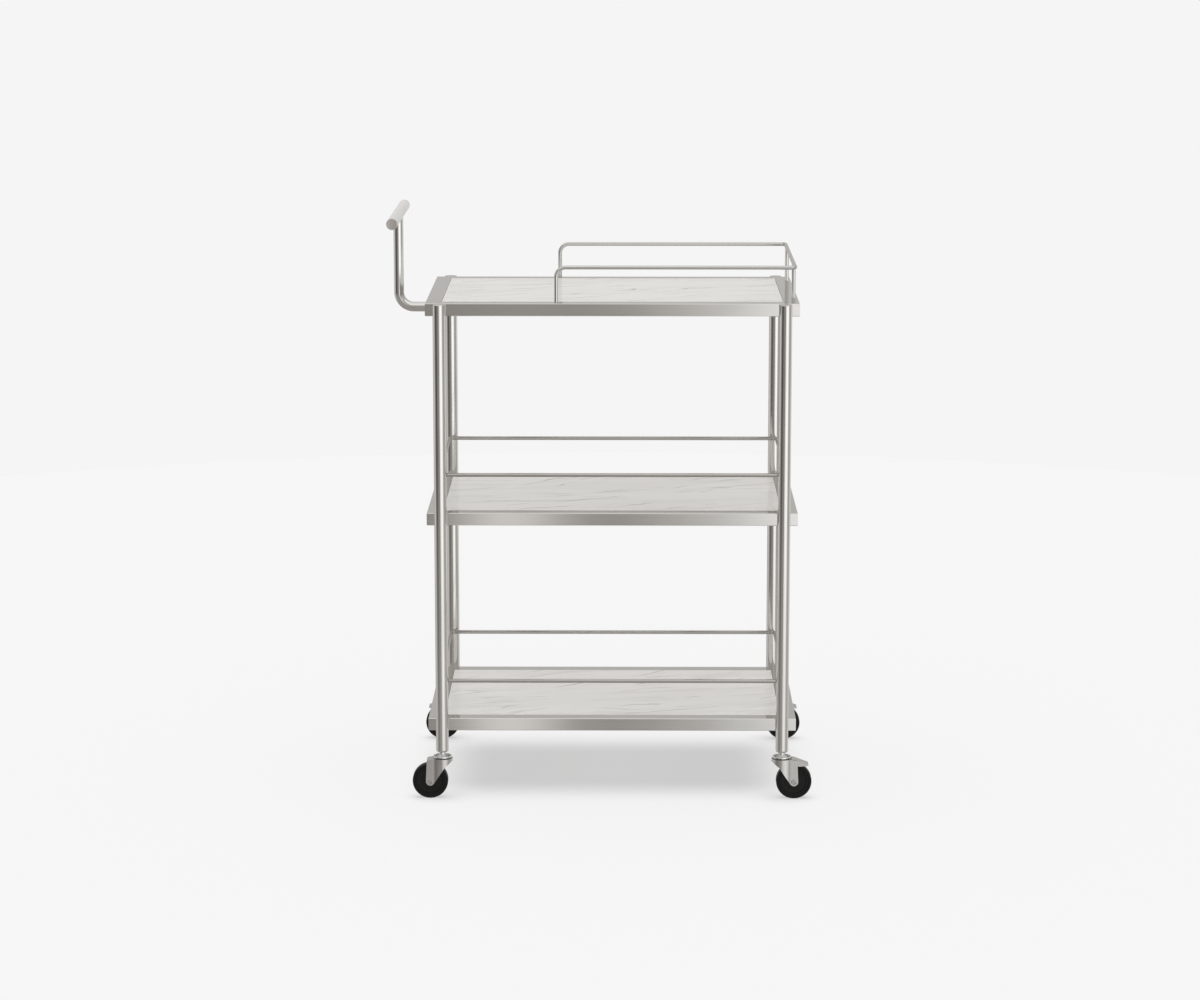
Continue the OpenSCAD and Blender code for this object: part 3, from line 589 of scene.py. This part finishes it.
def soften(piece: Object, width: float, segments: int, angle: float) -> None:
    """Rounds a piece's sharp edges and shades it smooth, with flat faces kept flat.

    Args:
        piece: The piece.
        width: Width of the rounding.
        segments: Number of steps across it.
        angle: Edges sharper than this are rounded, in degrees.
    """
    pick(piece)
    limit = math.radians(angle)
    apply_modifier(piece, "BEVEL", width=width, segments=segments, limit_method="ANGLE", angle_limit=limit)
    bpy.ops.object.shade_smooth()
    apply_modifier(piece, "WEIGHTED_NORMAL", keep_sharp=True, weight=FACE_WEIGHT)


def put(piece: Object, place: Vector | Triple, turn: Triple = (0.0, 0.0, 0.0)) -> None:
    """Turns and moves a piece, with the result kept in its mesh.

    Args:
        piece: The piece.
        place: Where its origin goes, in metres.
        turn: Turn about the three axes, in degrees.
    """
    pick(piece)
    piece.rotation_euler = [math.radians(a) for a in turn]
    piece.location = place
    bpy.ops.object.transform_apply(location=True, rotation=True, scale=True)


def copy_of(piece: Object, name: str) -> Object:
    """Copies a piece with a mesh of its own.

    Args:
        piece: The piece that is copied.
        name: Name of the copy.

    Returns:
        The copy.
    """
    pick(piece)
    bpy.ops.object.duplicate(linked=False)
    made = bpy.context.object
    rename(made, name)
    return made


def join(pieces: list[Object], name: str) -> Object:
    """Joins pieces into one.

    Args:
        pieces: The pieces.
        name: Name of the joined piece.

    Returns:
        The joined piece.
    """
    deselect()
    for piece in pieces:
        piece.select_set(True)
    bpy.context.view_layer.objects.active = pieces[0]
    bpy.ops.object.join()
    rename(pieces[0], name)
    return pieces[0]


def merged_copy(node: str, name: str) -> Object:
    """Copies a CAD node's mesh into a new piece with its points merged and its flat faces whole.

    Args:
        node: The CAD node.
        name: Name of the piece.

    Returns:
        The piece.
    """
    piece = bpy.data.objects.new(name, frame["nodes"][node].data.copy())
    bpy.context.scene.collection.objects.link(piece)
    piece.data.name = name
    piece.data.materials.clear()
    pick(piece)
    bpy.ops.object.mode_set(mode="EDIT")
    bpy.ops.mesh.select_mode(type="VERT")
    bpy.ops.mesh.select_all(action="SELECT")
    bpy.ops.mesh.customdata_custom_splitnormals_clear()
    bpy.ops.mesh.remove_doubles(threshold=SAME)
    bpy.ops.mesh.dissolve_limited(angle_limit=FLAT, delimit={"NORMAL"})
    bpy.ops.object.mode_set(mode="OBJECT")
    return piece


@dataclass(frozen=True)
class Turning:
    """A turned piece: one ring that is drawn out step by step along its axis.

    Attributes:
        profile: Radius and height of each step, in millimetres.
        segments: Number of sides.
        hollow: Whether the last ring joins the first round a bore; otherwise both ends are closed.
    """

    profile: Section
    segments: int
    hollow: bool = False

    def build(self, name: str) -> Object:
        """Models the piece about the Z axis.

        Args:
            name: Name of the piece.

        Returns:
            The piece.
        """
        radius, height = self.profile[0]
        deselect()
        bpy.ops.mesh.primitive_circle_add(vertices=self.segments, radius=radius * MM)
        piece = bpy.context.object
        rename(piece, name)
        bpy.ops.object.mode_set(mode="EDIT")
        bpy.ops.mesh.select_all(action="SELECT")
        bpy.ops.transform.translate(value=(0.0, 0.0, height * MM))
        for next_radius, next_height in self.profile[1:]:
            rise = (next_height - height) * MM
            bpy.ops.mesh.extrude_region_move(TRANSFORM_OT_translate={"value": (0.0, 0.0, rise)})
            if next_radius != radius:
                scale = next_radius / radius
                bpy.ops.transform.resize(value=(scale, scale, 1.0), center_override=(0.0, 0.0, 0.0))
            radius, height = next_radius, next_height
        if not self.hollow:
            bpy.ops.mesh.edge_face_add()
            first_r, first_h = (value * MM for value in self.profile[0])
            select_points(
                piece,
                lambda p: abs(math.hypot(p.x, p.y) - first_r) < NEAR and abs(p.z - first_h) < NEAR,
            )
            bpy.ops.mesh.edge_face_add()
        bpy.ops.mesh.select_all(action="SELECT")
        bpy.ops.mesh.remove_doubles(threshold=SAME)
        bpy.ops.mesh.normals_make_consistent(inside=False)
        bpy.ops.object.mode_set(mode="OBJECT")
        return piece


def arc(middle: Pair, r: float, start: float, end: float, steps: int) -> Section:
    """Points of a section's round corner.

    Args:
        middle: Radius and height of the corner's middle, in millimetres.
        r: The corner's own radius, in millimetres.
        start: Angle of its first point, in degrees.
        end: Angle of its last point, in degrees.
        steps: Number of steps.

    Returns:
        Radius and height of each point.
    """
    turns = [math.radians(start + (end - start) * i / steps) for i in range(steps + 1)]
    return tuple((middle[0] + r * math.cos(t), middle[1] + r * math.sin(t)) for t in turns)


def both_sides(upper: Section) -> Section:
    """A section's upper half, and its mirror image below it in the opposite order."""
    return (*upper, *((radius, -height) for radius, height in reversed(upper)))


def hand_over(piece: Object, body: str, slot: str, material: Material, *nodes: str) -> None:
    """Dresses a finished piece, lets it ride on a body and stand for its CAD nodes.

    Args:
        piece: The piece.
        body: The body that it rides on.
        slot: Not used.
        material: Its finish.
        nodes: The CAD nodes that it stands for.
    """
    if not piece.data.materials:
        dress(piece, material)
    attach(piece, body)
    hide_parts(*nodes)
    LOG.info("%s modelled, %d faces, in %s", piece.name, len(piece.data.polygons), material.name)


def middle_of(node: str) -> Vector:
    """The middle of a CAD node's box."""
    low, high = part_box(node)
    return (low + high) / 2


# ---------------- studio


class Where(Enum):
    """Part of the surroundings that a zone covers, as seen from the cart."""

    ALL_ROUND = "all round"
    STRAIGHT = "straight towards the camera"
    BESIDE = "all but straight towards the camera"
    AHEAD = "the front, to both sides of the camera"
    FRONT_HALF = "the front half"


@dataclass(frozen=True)
class Zone:
    """A height of the mirrored surroundings that is drawn towards one tone.

    Attributes:
        tone: The tone.
        start: Height of a direction at which the zone starts, where 1 is straight up.
        full: Height at which it is full.
        share: Share of the tone in the full zone.
        where: Directions that it covers.
    """

    tone: Colour
    start: float
    full: float
    share: float = 1.0
    where: Where = Where.ALL_ROUND


@dataclass(frozen=True)
class Studio:
    """The photograph's camera, a pale floor and plain soft light.

    Attributes:
        eye: Place of the camera.
        pitch: Angle by which the camera looks down, in radians.
        yaw: Turn of the camera about the vertical, in radians.
        lens: Focal length in millimetres on a sensor 36 mm wide.
        background: Level of the background and of the open floor.
        floor_r: Radius of the floor.
        floor_tone: Tone of the floor for the lamp.
        floor_share: Share of the open floor's level that comes from the lamp.
        floor_glow: Level of the floor for other rays than the camera's.
        lamp_angle: Angle that the lamp fills, in degrees.
        shading: Start of the names of the pieces that shade the floor.
        cards: Azimuth of points round the cart, in degrees from the camera's side, and their level.
        warm: Level at which a card starts to turn warm, and at which it is fully warm.
        warmth: What full warmth takes off red, green and blue.
        strip: Start, middle and end of an upright strip light, in degrees.
        strip_steps: Height at which the strip starts, height at which it is full, and its level.
        straight: Degrees beside the camera at which straight towards it ends, and is over.
        ahead: Degrees beside the camera at which the front ends, and is over.
        front: Y of a direction at which the front half starts, and is full.
        zones: Heights of the surroundings with a tone of their own.
        again: Tone of what is mirrored a second time.
        again_share: Share of that tone.
        key: X and Z of the direction from which the soft light is strongest.
        soft: Tone of the soft light on the far side and on the near side of that direction.
        soft_span: Place along that direction of the one and of the other tone.
    """

    eye: Triple = (0.03414, -5.33917, 1.39922)
    pitch: float = 0.18
    yaw: float = 0.0069
    lens: float = 104.52
    background: float = 0.913
    floor_r: float = 3.0
    floor_tone: float = 0.1
    floor_share: float = 0.3
    floor_glow: float = 0.75
    lamp_angle: float = 58.0
    shading: tuple[str, ...] = ("shelf_panel_bottom", "fork_", "tyre_", "wheel_core_")
    cards: Section = (
        (-180.0, 0.6), (-171.0, 0.58), (-158.0, 0.38), (-142.0, 0.34), (-122.0, 0.86), (-98.0, 0.68),
        (-80.0, 0.34), (-66.0, 0.07), (-50.0, 0.08), (-30.0, 0.3), (-4.0, 0.3), (-2.7, 0.36),
        (-1.6, 0.385), (-0.5, 0.4), (0.6, 0.385), (1.2, 0.41), (1.5, 0.76), (1.8, 0.92),
        (2.1, 1.05), (3.2, 1.15), (9.0, 1.0), (20.0, 1.4), (42.0, 1.5), (54.0, 1.05),
        (66.0, 0.5), (104.0, 0.48), (124.0, 0.92), (142.0, 0.98), (154.0, 0.5), (171.0, 0.58),
    )  # fmt: skip
    warm: Pair = (0.95, 0.35)
    warmth: Colour = (0.0, 0.05, 0.1)
    strip: Triple = (-3.2, -2.0, -0.45)
    strip_steps: tuple[Triple, ...] = ((-0.15, -0.17, 0.52), (-0.2, -0.24, 0.2))
    straight: Pair = (4.0, 10.0)
    ahead: Pair = (22.0, 40.0)
    front: Pair = (0.2, -0.1)
    zones: tuple[Zone, ...] = (
        Zone((0.56, 0.545, 0.53), -0.16, -0.26, 0.5, Where.BESIDE),
        Zone((0.32, 0.31, 0.295), -0.2, -0.25, 0.25, Where.STRAIGHT),
        Zone((0.53, 0.518, 0.5), -0.08, 0.15, 0.8),
        Zone((0.15, 0.14, 0.13), 0.1, 0.35, 0.45, Where.AHEAD),
        Zone((1.2, 1.195, 1.185), 0.52, 0.62, 1.0, Where.FRONT_HALF),
        Zone((1.0, 0.995, 0.985), 0.65, 0.9),
        Zone((0.4, 0.385, 0.37), -0.35, -0.7),
    )
    again: Colour = (0.56, 0.55, 0.53)
    again_share: float = 0.7
    key: Pair = (-0.6, 0.8)
    soft: tuple[Colour, Colour] = ((0.7, 0.7, 0.7), (1.18, 1.18, 1.17))
    soft_span: Pair = (-0.7, 0.7)

    def build(self) -> None:
        """Makes the camera, the world, the floor and its lamp."""
        self.camera()
        self.world()
        self.floor()
        self.lamp()
        bpy.context.scene.view_settings.view_transform = "Standard"

    def camera(self) -> None:
        """Sets the camera up as the photograph's."""
        data = bpy.data.cameras.new("camera")
        data.sensor_width = 36.0
        data.lens = self.lens
        data.clip_end = 60.0
        camera = bpy.data.objects.new("camera", data)
        bpy.context.scene.collection.objects.link(camera)
        camera.location = self.eye
        camera.rotation_euler = (math.pi / 2 - self.pitch, 0.0, self.yaw)
        bpy.context.scene.camera = camera

    def world(self) -> None:
        """Lights the cart evenly from all round, with soft boxes and cards for the metal to mirror."""
        world = bpy.data.worlds.new("studio")
        world.use_nodes = True
        bpy.context.scene.world = world
        tree = Shader(world.node_tree)
        way = tree.parts(tree.node("ShaderNodeTexCoord").outputs["Generated"])
        rays = tree.node("ShaderNodeLightPath").outputs
        twice = tree.math("GREATER_THAN", rays["Glossy Depth"], 1.5)
        again = tree.math("MULTIPLY", twice, self.again_share)
        mirrored = tree.blend(again, self.mirrored(tree, way), self.again)
        colour = tree.blend(rays["Is Glossy Ray"], self.soft_light(tree, way), mirrored)
        colour = tree.blend(self.seen(tree), colour, (self.background,) * 3)
        glow = tree.node("ShaderNodeBackground", {"Color": colour})
        tree.node("ShaderNodeOutputWorld", {"Surface": glow.outputs[0]})

    def seen(self, tree: Shader) -> Socket:
        """Whether a ray is the camera's own, or came through something clear: 0 or 1."""
        rays = tree.node("ShaderNodeLightPath").outputs
        return tree.math("MAXIMUM", rays["Is Camera Ray"], rays["Is Transmission Ray"])

    def soft_light(self, tree: Shader, way: bpy.types.NodeOutputs) -> Socket:
        """The even light on matt surfaces, a little stronger from the upper left.

        Args:
            tree: The world's tree.
            way: The direction's X, Y and Z.

        Returns:
            The colour's socket.
        """
        across, up = (tree.math("MULTIPLY", way[axis], part) for axis, part in zip("XZ", self.key))
        return tree.blend(tree.spread(tree.math("ADD", up, across), *self.soft_span), *self.soft)

    def mirrored(self, tree: Shader, way: bpy.types.NodeOutputs) -> Socket:
        """The surroundings that the metal mirrors: cards round the cart, and zones by height.

        Args:
            tree: The world's tree.
            way: The direction's X, Y and Z.

        Returns:
            The colour's socket.
        """
        turn = tree.math("ARCTAN2", way["X"], tree.math("MULTIPLY", way["Y"], -1.0))
        aside = tree.math("ABSOLUTE", turn)
        beside = tree.spread(aside, *map(math.radians, self.straight))
        masks = {
            Where.BESIDE: beside,
            Where.STRAIGHT: tree.math("SUBTRACT", 1.0, beside),
            Where.AHEAD: tree.spread(aside, *map(math.radians, self.ahead), (1.0, 0.0)),
            Where.FRONT_HALF: tree.spread(way["Y"], *self.front),
        }
        top = max(level for _, level in self.cards)
        strip = self.strip_light(tree, turn, way["Z"])
        colour = tree.scaled_sum(self.card_ring(tree, turn, top), top, strip)
        for zone in self.zones:
            share = tree.spread(way["Z"], zone.start, zone.full, (0.0, zone.share))
            if zone.where in masks:
                share = tree.math("MULTIPLY", share, masks[zone.where])
            colour = tree.blend(share, colour, zone.tone)
        return colour

    def card_ring(self, tree: Shader, turn: Socket, top: float) -> Socket:
        """The cards as a ring of tones by azimuth.

        Args:
            tree: The world's tree.
            turn: The azimuth's socket, in radians.
            top: The highest level, which becomes 1.

        Returns:
            The colour's socket.
        """
        share = tree.math("ADD", tree.math("DIVIDE", turn, 2 * math.pi), 0.5)
        ramp = tree.node("ShaderNodeValToRGB", {0: share})
        ramp.color_ramp.interpolation = "LINEAR"
        stops = ramp.color_ramp.elements
        while len(stops) > 1:
            stops.remove(stops[-1])
        stops[0].position = 0.0
        cool, warm = self.warm
        for i, (azimuth, level) in enumerate(self.cards):
            stop = stops[0] if i == 0 else stops.new((azimuth + 180.0) / 360.0)
            tint = min(1.0, max(0.0, (cool - level) / (cool - warm)))
            stop.color = (*(level / top * (1 - part * tint) for part in self.warmth), 1.0)
        return ramp.outputs[0]

    def strip_light(self, tree: Shader, turn: Socket, height: Socket) -> Socket:
        """A soft upright strip light low in front, which the lower shelves mirror.

        Args:
            tree: The world's tree.
            turn: The azimuth's socket, in radians.
            height: Socket of the direction's height.

        Returns:
            The level that it adds.
        """
        low, middle, high = map(math.radians, self.strip)
        band = tree.math("MULTIPLY", tree.spread(turn, low, middle), tree.spread(turn, middle, high, (1.0, 0.0)))
        steps = (tree.spread(height, start, full, (0.0, level)) for start, full, level in self.strip_steps)
        return tree.math("MULTIPLY", band, tree.math("ADD", *steps))

    def floor(self) -> None:
        """Lays a pale round floor that takes the cart's soft shadow."""
        bpy.ops.object.select_all(action="DESELECT")
        bpy.ops.mesh.primitive_circle_add(vertices=96, radius=self.floor_r, fill_type="NGON")
        floor = bpy.context.object
        floor.name = "floor"
        floor.visible_glossy = False
        material = bpy.data.materials.new("pale_floor")
        material.use_nodes = True
        tree = Shader(material.node_tree)
        rest = self.background * (1 - self.floor_share) - self.floor_tone
        colour = tree.blend(self.seen(tree), (self.floor_glow,) * 3, (rest,) * 3)
        lit = tree.node("ShaderNodeBsdfDiffuse", {"Color": (*(self.floor_tone,) * 3, 1.0)})
        glow = tree.node("ShaderNodeEmission", {"Color": colour})
        both = tree.node("ShaderNodeAddShader", {0: lit.outputs[0], 1: glow.outputs[0]})
        tree.node("ShaderNodeOutputMaterial", {"Surface": both.outputs[0]})
        dress(floor, material)

    def lamp(self) -> None:
        """Hangs a broad lamp overhead that lights only the floor and is shaded by the lowest pieces."""
        data = bpy.data.lights.new("overhead", "SUN")
        data.angle = math.radians(self.lamp_angle)
        data.energy = math.pi * self.background * self.floor_share / self.floor_tone
        lamp = bpy.data.objects.new("overhead", data)
        bpy.context.scene.collection.objects.link(lamp)
        lit = bpy.data.collections.new("lit_by_overhead")
        lit.objects.link(bpy.data.objects["floor"])
        lamp.light_linking.receiver_collection = lit
        shading = bpy.data.collections.new("shades_the_floor")
        for thing in bpy.context.scene.objects:
            if thing.type == "MESH" and thing.name.startswith(self.shading):
                shading.objects.link(thing)
        lamp.light_linking.blocker_collection = shading


# ---------------- the cart


@dataclass(frozen=True)
class Shelves:
    """The three shelves with their frames, panels and hidden fixings.

    Attributes:
        finishes: The finishes.
        fold: Rounding of the folded sheet's edges.
        ease: Rounding of a panel's edges.
        band: Width of a panel's edge band.
        broad: Area above which a panel's level face is its top or its underside, in square metres.
    """

    finishes: Finishes
    fold: float = 0.3 * MM
    ease: float = 0.45 * MM
    band: float = 1.1 * MM
    broad: float = 0.01

    def build(self) -> None:
        """Models the frames and the panels, and dresses what stays."""
        for level in LEVELS:
            self.shelf_frame(level)
            self.panel(level)
        dress_nodes(
            {
                "shelf_stiffeners": self.finishes.shelf,
                "shelf_bolts": self.finishes.fastener,
                "post_bushes": self.finishes.fastener,
            }
        )

    def shelf_frame(self, level: str) -> None:
        """Rounds the folds of a frame's rim, apron, ledge and lip.

        Args:
            level: The shelf.
        """
        node = f"shelf_frame_{level}"
        piece = merged_copy(node, f"{node}_folded")
        soften(piece, self.fold, 3, 25.0)
        hand_over(piece, "frame", "stainless", self.finishes.shelf, node)

    def panel(self, level: str) -> None:
        """Cuts a panel, with a band round its edges that is eased all round.

        Args:
            level: The shelf.
        """
        node = f"shelf_panel_{level}"
        low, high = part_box(node)
        deselect()
        bpy.ops.mesh.primitive_cube_add(size=1.0, location=(low + high) / 2, scale=high - low)
        piece = bpy.context.object
        rename(piece, f"{node}_laminate")
        bpy.ops.object.transform_apply(location=True, rotation=True, scale=True)
        dress(piece, self.finishes.panel)
        piece.data.materials.append(self.finishes.panel_edge)
        bpy.ops.object.mode_set(mode="EDIT")
        select_points(piece, lambda p: p.z > high.z - NEAR)
        bpy.ops.mesh.inset(thickness=self.band, depth=0.0)
        bpy.ops.object.mode_set(mode="OBJECT")
        for face in piece.data.polygons:
            face.material_index = 0 if abs(face.normal.z) > 0.5 and face.area > self.broad else 1
        soften(piece, self.ease, 3, 30.0)
        hand_over(piece, "frame", "panel", self.finishes.panel, node)


@dataclass(frozen=True)
class Posts:
    """The four posts with their caps and sockets.

    Attributes:
        finishes: The finishes.
    """

    finishes: Finishes

    def build(self) -> None:
        """Dresses the posts."""
        dress_nodes({"post_": self.finishes.post, "post_foot_sockets": self.finishes.plain})


@dataclass(frozen=True)
class Rails:
    """The rails round the two lower shelves and the guard rail on the top one.

    Attributes:
        finishes: The finishes.
    """

    finishes: Finishes

    def build(self) -> None:
        """Dresses the rails."""
        dress_nodes(
            {
                # the lower shelves' rails take the darker steel with painted shade
                "rail_": self.finishes.rail,
                "guard_rail": self.finishes.rod_x,
                "guard_legs_right": self.finishes.rod_z,
                "guard_screws": self.finishes.fastener,
            }
        )


@dataclass(frozen=True)
class Handle:
    """The push handle: bent tube, grip and its fixings. Lengths are in millimetres.

    Attributes:
        finishes: The finishes.
        wall: Wall of the grip's tube.
        ease: Rounding of the tube's ends.
        cap_t: Thickness of an end cap.
        plug: Length of a cap's plug.
        sides: Number of sides of the tube and the caps.
    """

    finishes: Finishes
    wall: float = 1.2
    ease: float = 0.35
    cap_t: float = 1.5
    plug: float = 8.0
    sides: int = 96

    def build(self) -> None:
        """Models the grip with its end caps, and dresses what stays."""
        self.grip()
        self.end_caps()
        dress_nodes(
            {
                "handle_tube": self.finishes.handle,
                "handle_screws": self.finishes.fastener,
                "handle_nuts": self.finishes.fastener,
            }
        )

    def bar(self) -> tuple[Vector, float, float]:
        """The grip's middle in metres, and its radius and half its length in millimetres."""
        low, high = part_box("handle_grip")
        return (low + high) / 2, (high.z - low.z) / 2 / MM, (high.y - low.y) / 2 / MM

    def grip(self) -> None:
        """Turns the grip's tube."""
        middle, r, half = self.bar()
        upper = ((r - self.wall, half), (r - self.ease, half), (r - 0.1, half - 0.1), (r, half - self.ease))
        profile = both_sides(upper)[::-1]
        tube = Turning((*profile, profile[0]), self.sides, True).build("handle_grip_turned")
        put(tube, middle, (-90, 0, 0))
        soften(tube, 0.05 * MM, 1, 60.0)
        hand_over(tube, "frame", "satin_steel", self.finishes.grip, "handle_grip")

    def end_caps(self) -> None:
        """Turns the grip's two end caps, each with a plug that goes into the tube."""
        middle, r, half = self.bar()
        bore, face = r - self.wall, self.cap_t
        profile = (
            (bore - 0.3, -self.plug),
            (bore - 0.1, -self.plug + 0.4),
            (bore - 0.1, 0.0),
            (r - 0.15, 0.0),
            (r, 0.15),
            (r, face - 0.7),
            (r - 0.15, face - 0.3),
            (r - 0.45, face - 0.08),
            (r - 0.8, face),
            (r - 1.6, face),
            (r - 1.8, face - 0.12),
            (1.0, face - 0.12),
        )
        caps = []
        for side in (-1, 1):
            cap = Turning(profile, self.sides).build(f"cap_{side}")
            put(cap, (middle.x, middle.y + side * half * MM, middle.z), (-90 * side, 0, 0))
            soften(cap, 0.04 * MM, 1, 60.0)
            caps.append(cap)
        piece = join(caps, "grip_end_caps_turned")
        hand_over(piece, "frame", "cap_steel", self.finishes.grip_cap, "grip_end_caps")


@dataclass(frozen=True)
class Casters:
    """The four swivel casters, three of them with a brake.

    Lengths are in millimetres, across the wheel or from the axle's middle.

    Attributes:
        finishes: The finishes.
        wheel_r: Radius of a wheel.
        half_w: Half the width of a tyre.
        core_r: Radius of a wheel's core.
        shoulder: Radius of a tyre's shoulders.
        groove: Depth of the grooves in a tyre's side and tread.
        hub_r: Radius of a hub.
        hub_half: Half the length of a hub.
        bore: Radius of a hub's bore.
        rim_half: Half the width of a core's rim.
        rim_w: Width of a core's rim outside its dish.
        dish: Depth of the dish.
        ring: Radius inside and outside of the ring that is moulded in the dish.
        leg_out: Distance from a wheel's middle to the outside of the fork.
        head_r: Radius of a rivet's head.
        head_h: Height of a rivet's head.
        pit: Depth of the ring that is pressed into a rivet's head.
        cap_r: Radius of a raceway cap.
        cap_bore: Radius of its bore.
        boss_r: Radius of the boss in its middle.
        pressed: Rounding of the edges of pressed sheet, in metres.
    """

    finishes: Finishes
    wheel_r: float = 26.99
    half_w: float = 7.5
    core_r: float = 22.5
    shoulder: float = 1.8
    groove: float = 0.3
    hub_r: float = 7.5
    hub_half: float = 8.9
    bore: float = 4.55
    rim_half: float = 6.7
    rim_w: float = 3.0
    dish: float = 2.0
    ring: Pair = (12.6, 13.9)
    leg_out: float = 11.1
    head_r: float = 4.2
    head_h: float = 1.0
    pit: float = 0.55
    cap_r: float = 14.0
    cap_bore: float = 4.05
    boss_r: float = 7.675
    pressed: float = 0.22 * MM

    def build(self) -> None:
        """Models the casters' visible pieces and dresses what stays."""
        self.raceway_caps()
        self.round_pieces()
        for corner in CASTERS:
            self.pressed_sheet(f"fork_{corner}", f"swivel_{corner}")
        for corner in BRAKED:
            self.pressed_sheet(f"brake_pedal_{corner}", f"brake_{corner}")
        dress_nodes(
            {
                "bearing_balls": self.finishes.ball,
                "stem_": self.finishes.polished,
                "axle_sleeve": self.finishes.plain,
                "brake_pin": self.finishes.fastener,
            }
        )

    def tyre_profile(self) -> Section:
        """Draws a tyre: bead, side with a moulded ring, round shoulder and grooved tread.

        Returns:
            Radius and height of each point.
        """
        r, w, s, bead, deep = self.wheel_r, self.half_w, self.shoulder, self.core_r, self.groove
        upper = (
            (bead, w - 0.35),
            (bead + 0.35, w),
            (bead + 0.9, w),
            (bead + 1.1, w - deep),
            (bead + 1.5, w - deep),
            (bead + 1.7, w),
            *arc((r - s, w - s), s, 90.0, 0.0, 6),
            (r, 2.9),
            (r - deep, 2.75),
            (r - deep, 2.35),
            (r, 2.2),
        )
        return (*both_sides(upper), upper[0])

    def core_profile(self) -> Section:
        """Draws a wheel's core: bore, hub, dish with a moulded ring, and rim.

        Returns:
            Radius and height of each point.
        """
        hub, end, rim, floor = self.hub_r, self.hub_half, self.rim_half, self.rim_half - self.dish
        outer, lip = self.core_r - 0.05, self.core_r - self.rim_w
        inside, outside = self.ring
        upper = (
            (self.bore, end - 0.3),
            (self.bore + 0.3, end),
            (hub - 0.5, end),
            (hub, end - 0.5),
            (hub, floor + 0.8),
            (hub + 0.25, floor + 0.25),
            (hub + 0.8, floor),
            (inside, floor),
            (inside + 0.3, floor + 0.3),
            (outside - 0.3, floor + 0.3),
            (outside, floor),
            (lip - 0.9, floor),
            (lip - 0.3, floor + 0.3),
            (lip, floor + 0.9),
            (lip, rim - 0.4),
            (lip + 0.4, rim),
            (outer - 0.4, rim),
            (outer, rim - 0.4),
        )
        return (*both_sides(upper), upper[0])

    def rivet_profile(self) -> Section:
        """Draws an axle rivet: shank and two domed heads, each with a pressed ring.

        Returns:
            Radius and height of each point.
        """
        base, top, r = self.leg_out, self.leg_out + self.head_h, self.head_r
        return both_sides(
            (
                (0.3, top),
                (0.65, top - 0.08),
                (1.0, top - 0.25),
                (1.3, top - self.pit),
                (2.35, top - self.pit),
                (2.5, top - 0.08),
                (2.7, top),
                (3.3, top - 0.08),
                (3.8, top - 0.28),
                (4.1, top - 0.55),
                (r, top - 0.8),
                (r, base),
                (3.0, base),
            )
        )

    def cap_profile(self) -> Section:
        """Draws a raceway cap: a groove for the balls, a rounded rim, a dish and a boss.

        Returns:
            Radius and height of each point.
        """
        low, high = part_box("raceway_caps")
        base, top, r, bore, boss = low.z / MM, high.z / MM, self.cap_r, self.cap_bore, self.boss_r
        rim, floor = base + 2.6, base + 1.8
        return (
            (bore, base),
            (8.1, base),
            *arc((9.5, base - 0.65), 1.55, 155.2, 24.8, 8),
            (r - 0.4, base),
            (r, base + 0.4),
            *arc((r - 0.8, rim - 0.8), 0.8, 0.0, 90.0, 5),
            (r - 1.5, rim),
            (r - 1.85, rim - 0.25),
            (r - 2.1, floor + 0.15),
            (r - 2.6, floor),
            (8.1, floor),
            (7.75, floor + 0.3),
            (boss, floor + 0.8),
            (boss, top - 0.5),
            (7.2, top),
            (bore, top),
            (bore, base),
        )

    def round_pieces(self) -> None:
        """Turns a tyre, a core and a rivet once and copies them to the four casters."""
        kinds = (
            ("tyre", Turning(self.tyre_profile(), 96, True), "wheel", "tyre", self.finishes.tyre),
            ("wheel_core", Turning(self.core_profile(), 96, True), "wheel", "wheel_core", self.finishes.core),
            ("axle_rivet", Turning(self.rivet_profile(), 48), "swivel", "rivet_steel", self.finishes.rivet),
        )
        for kind, turning, body, slot, material in kinds:
            first = turning.build(f"{kind}_turned")
            put(first, (0.0, 0.0, 0.0), (-90, 0, 0))
            soften(first, 0.06 * MM, 2, 32.0)
            for corner in CASTERS:
                node = f"{kind}_{corner}"
                piece = copy_of(first, f"{node}_turned")
                put(piece, middle_of(node))
                hand_over(piece, f"{body}_{corner}", slot, material, node)
            bpy.data.objects.remove(first)

    def raceway_caps(self) -> None:
        """Turns the dished caps over the bearing balls."""
        caps = []
        first = Turning(self.cap_profile(), 72, True).build("cap")
        soften(first, 0.05 * MM, 1, 40.0)
        for corner in CASTERS:
            stem = middle_of(f"stem_{corner}")
            cap = copy_of(first, f"cap_{corner}")
            put(cap, (stem.x, stem.y, 0.0))
            caps.append(cap)
        bpy.data.objects.remove(first)
        piece = join(caps, "raceway_caps_turned")
        hand_over(piece, "frame", "zinc", self.finishes.polished, "raceway_caps")

    def pressed_sheet(self, node: str, body: str) -> None:
        """Rounds the edges of a piece pressed from sheet.

        Args:
            node: The CAD node.
            body: The body that it rides on.
        """
        piece = merged_copy(node, f"{node}_pressed")
        soften(piece, self.pressed, 2, 35.0)
        hand_over(piece, body, "zinc", self.finishes.zinc, node)


def main() -> None:
    """Dresses the cart, one sub-assembly after another, and builds the studio round it."""
    logging.basicConfig(level=logging.INFO, format="%(name)s: %(message)s")
    finishes = Finishes()
    parts = (Posts(finishes), Shelves(finishes), Rails(finishes), Handle(finishes), Casters(finishes), Studio())
    for part in parts:
        part.build()
        LOG.info("%s done", type(part).__name__)


if __name__ == "__main__":
    main()
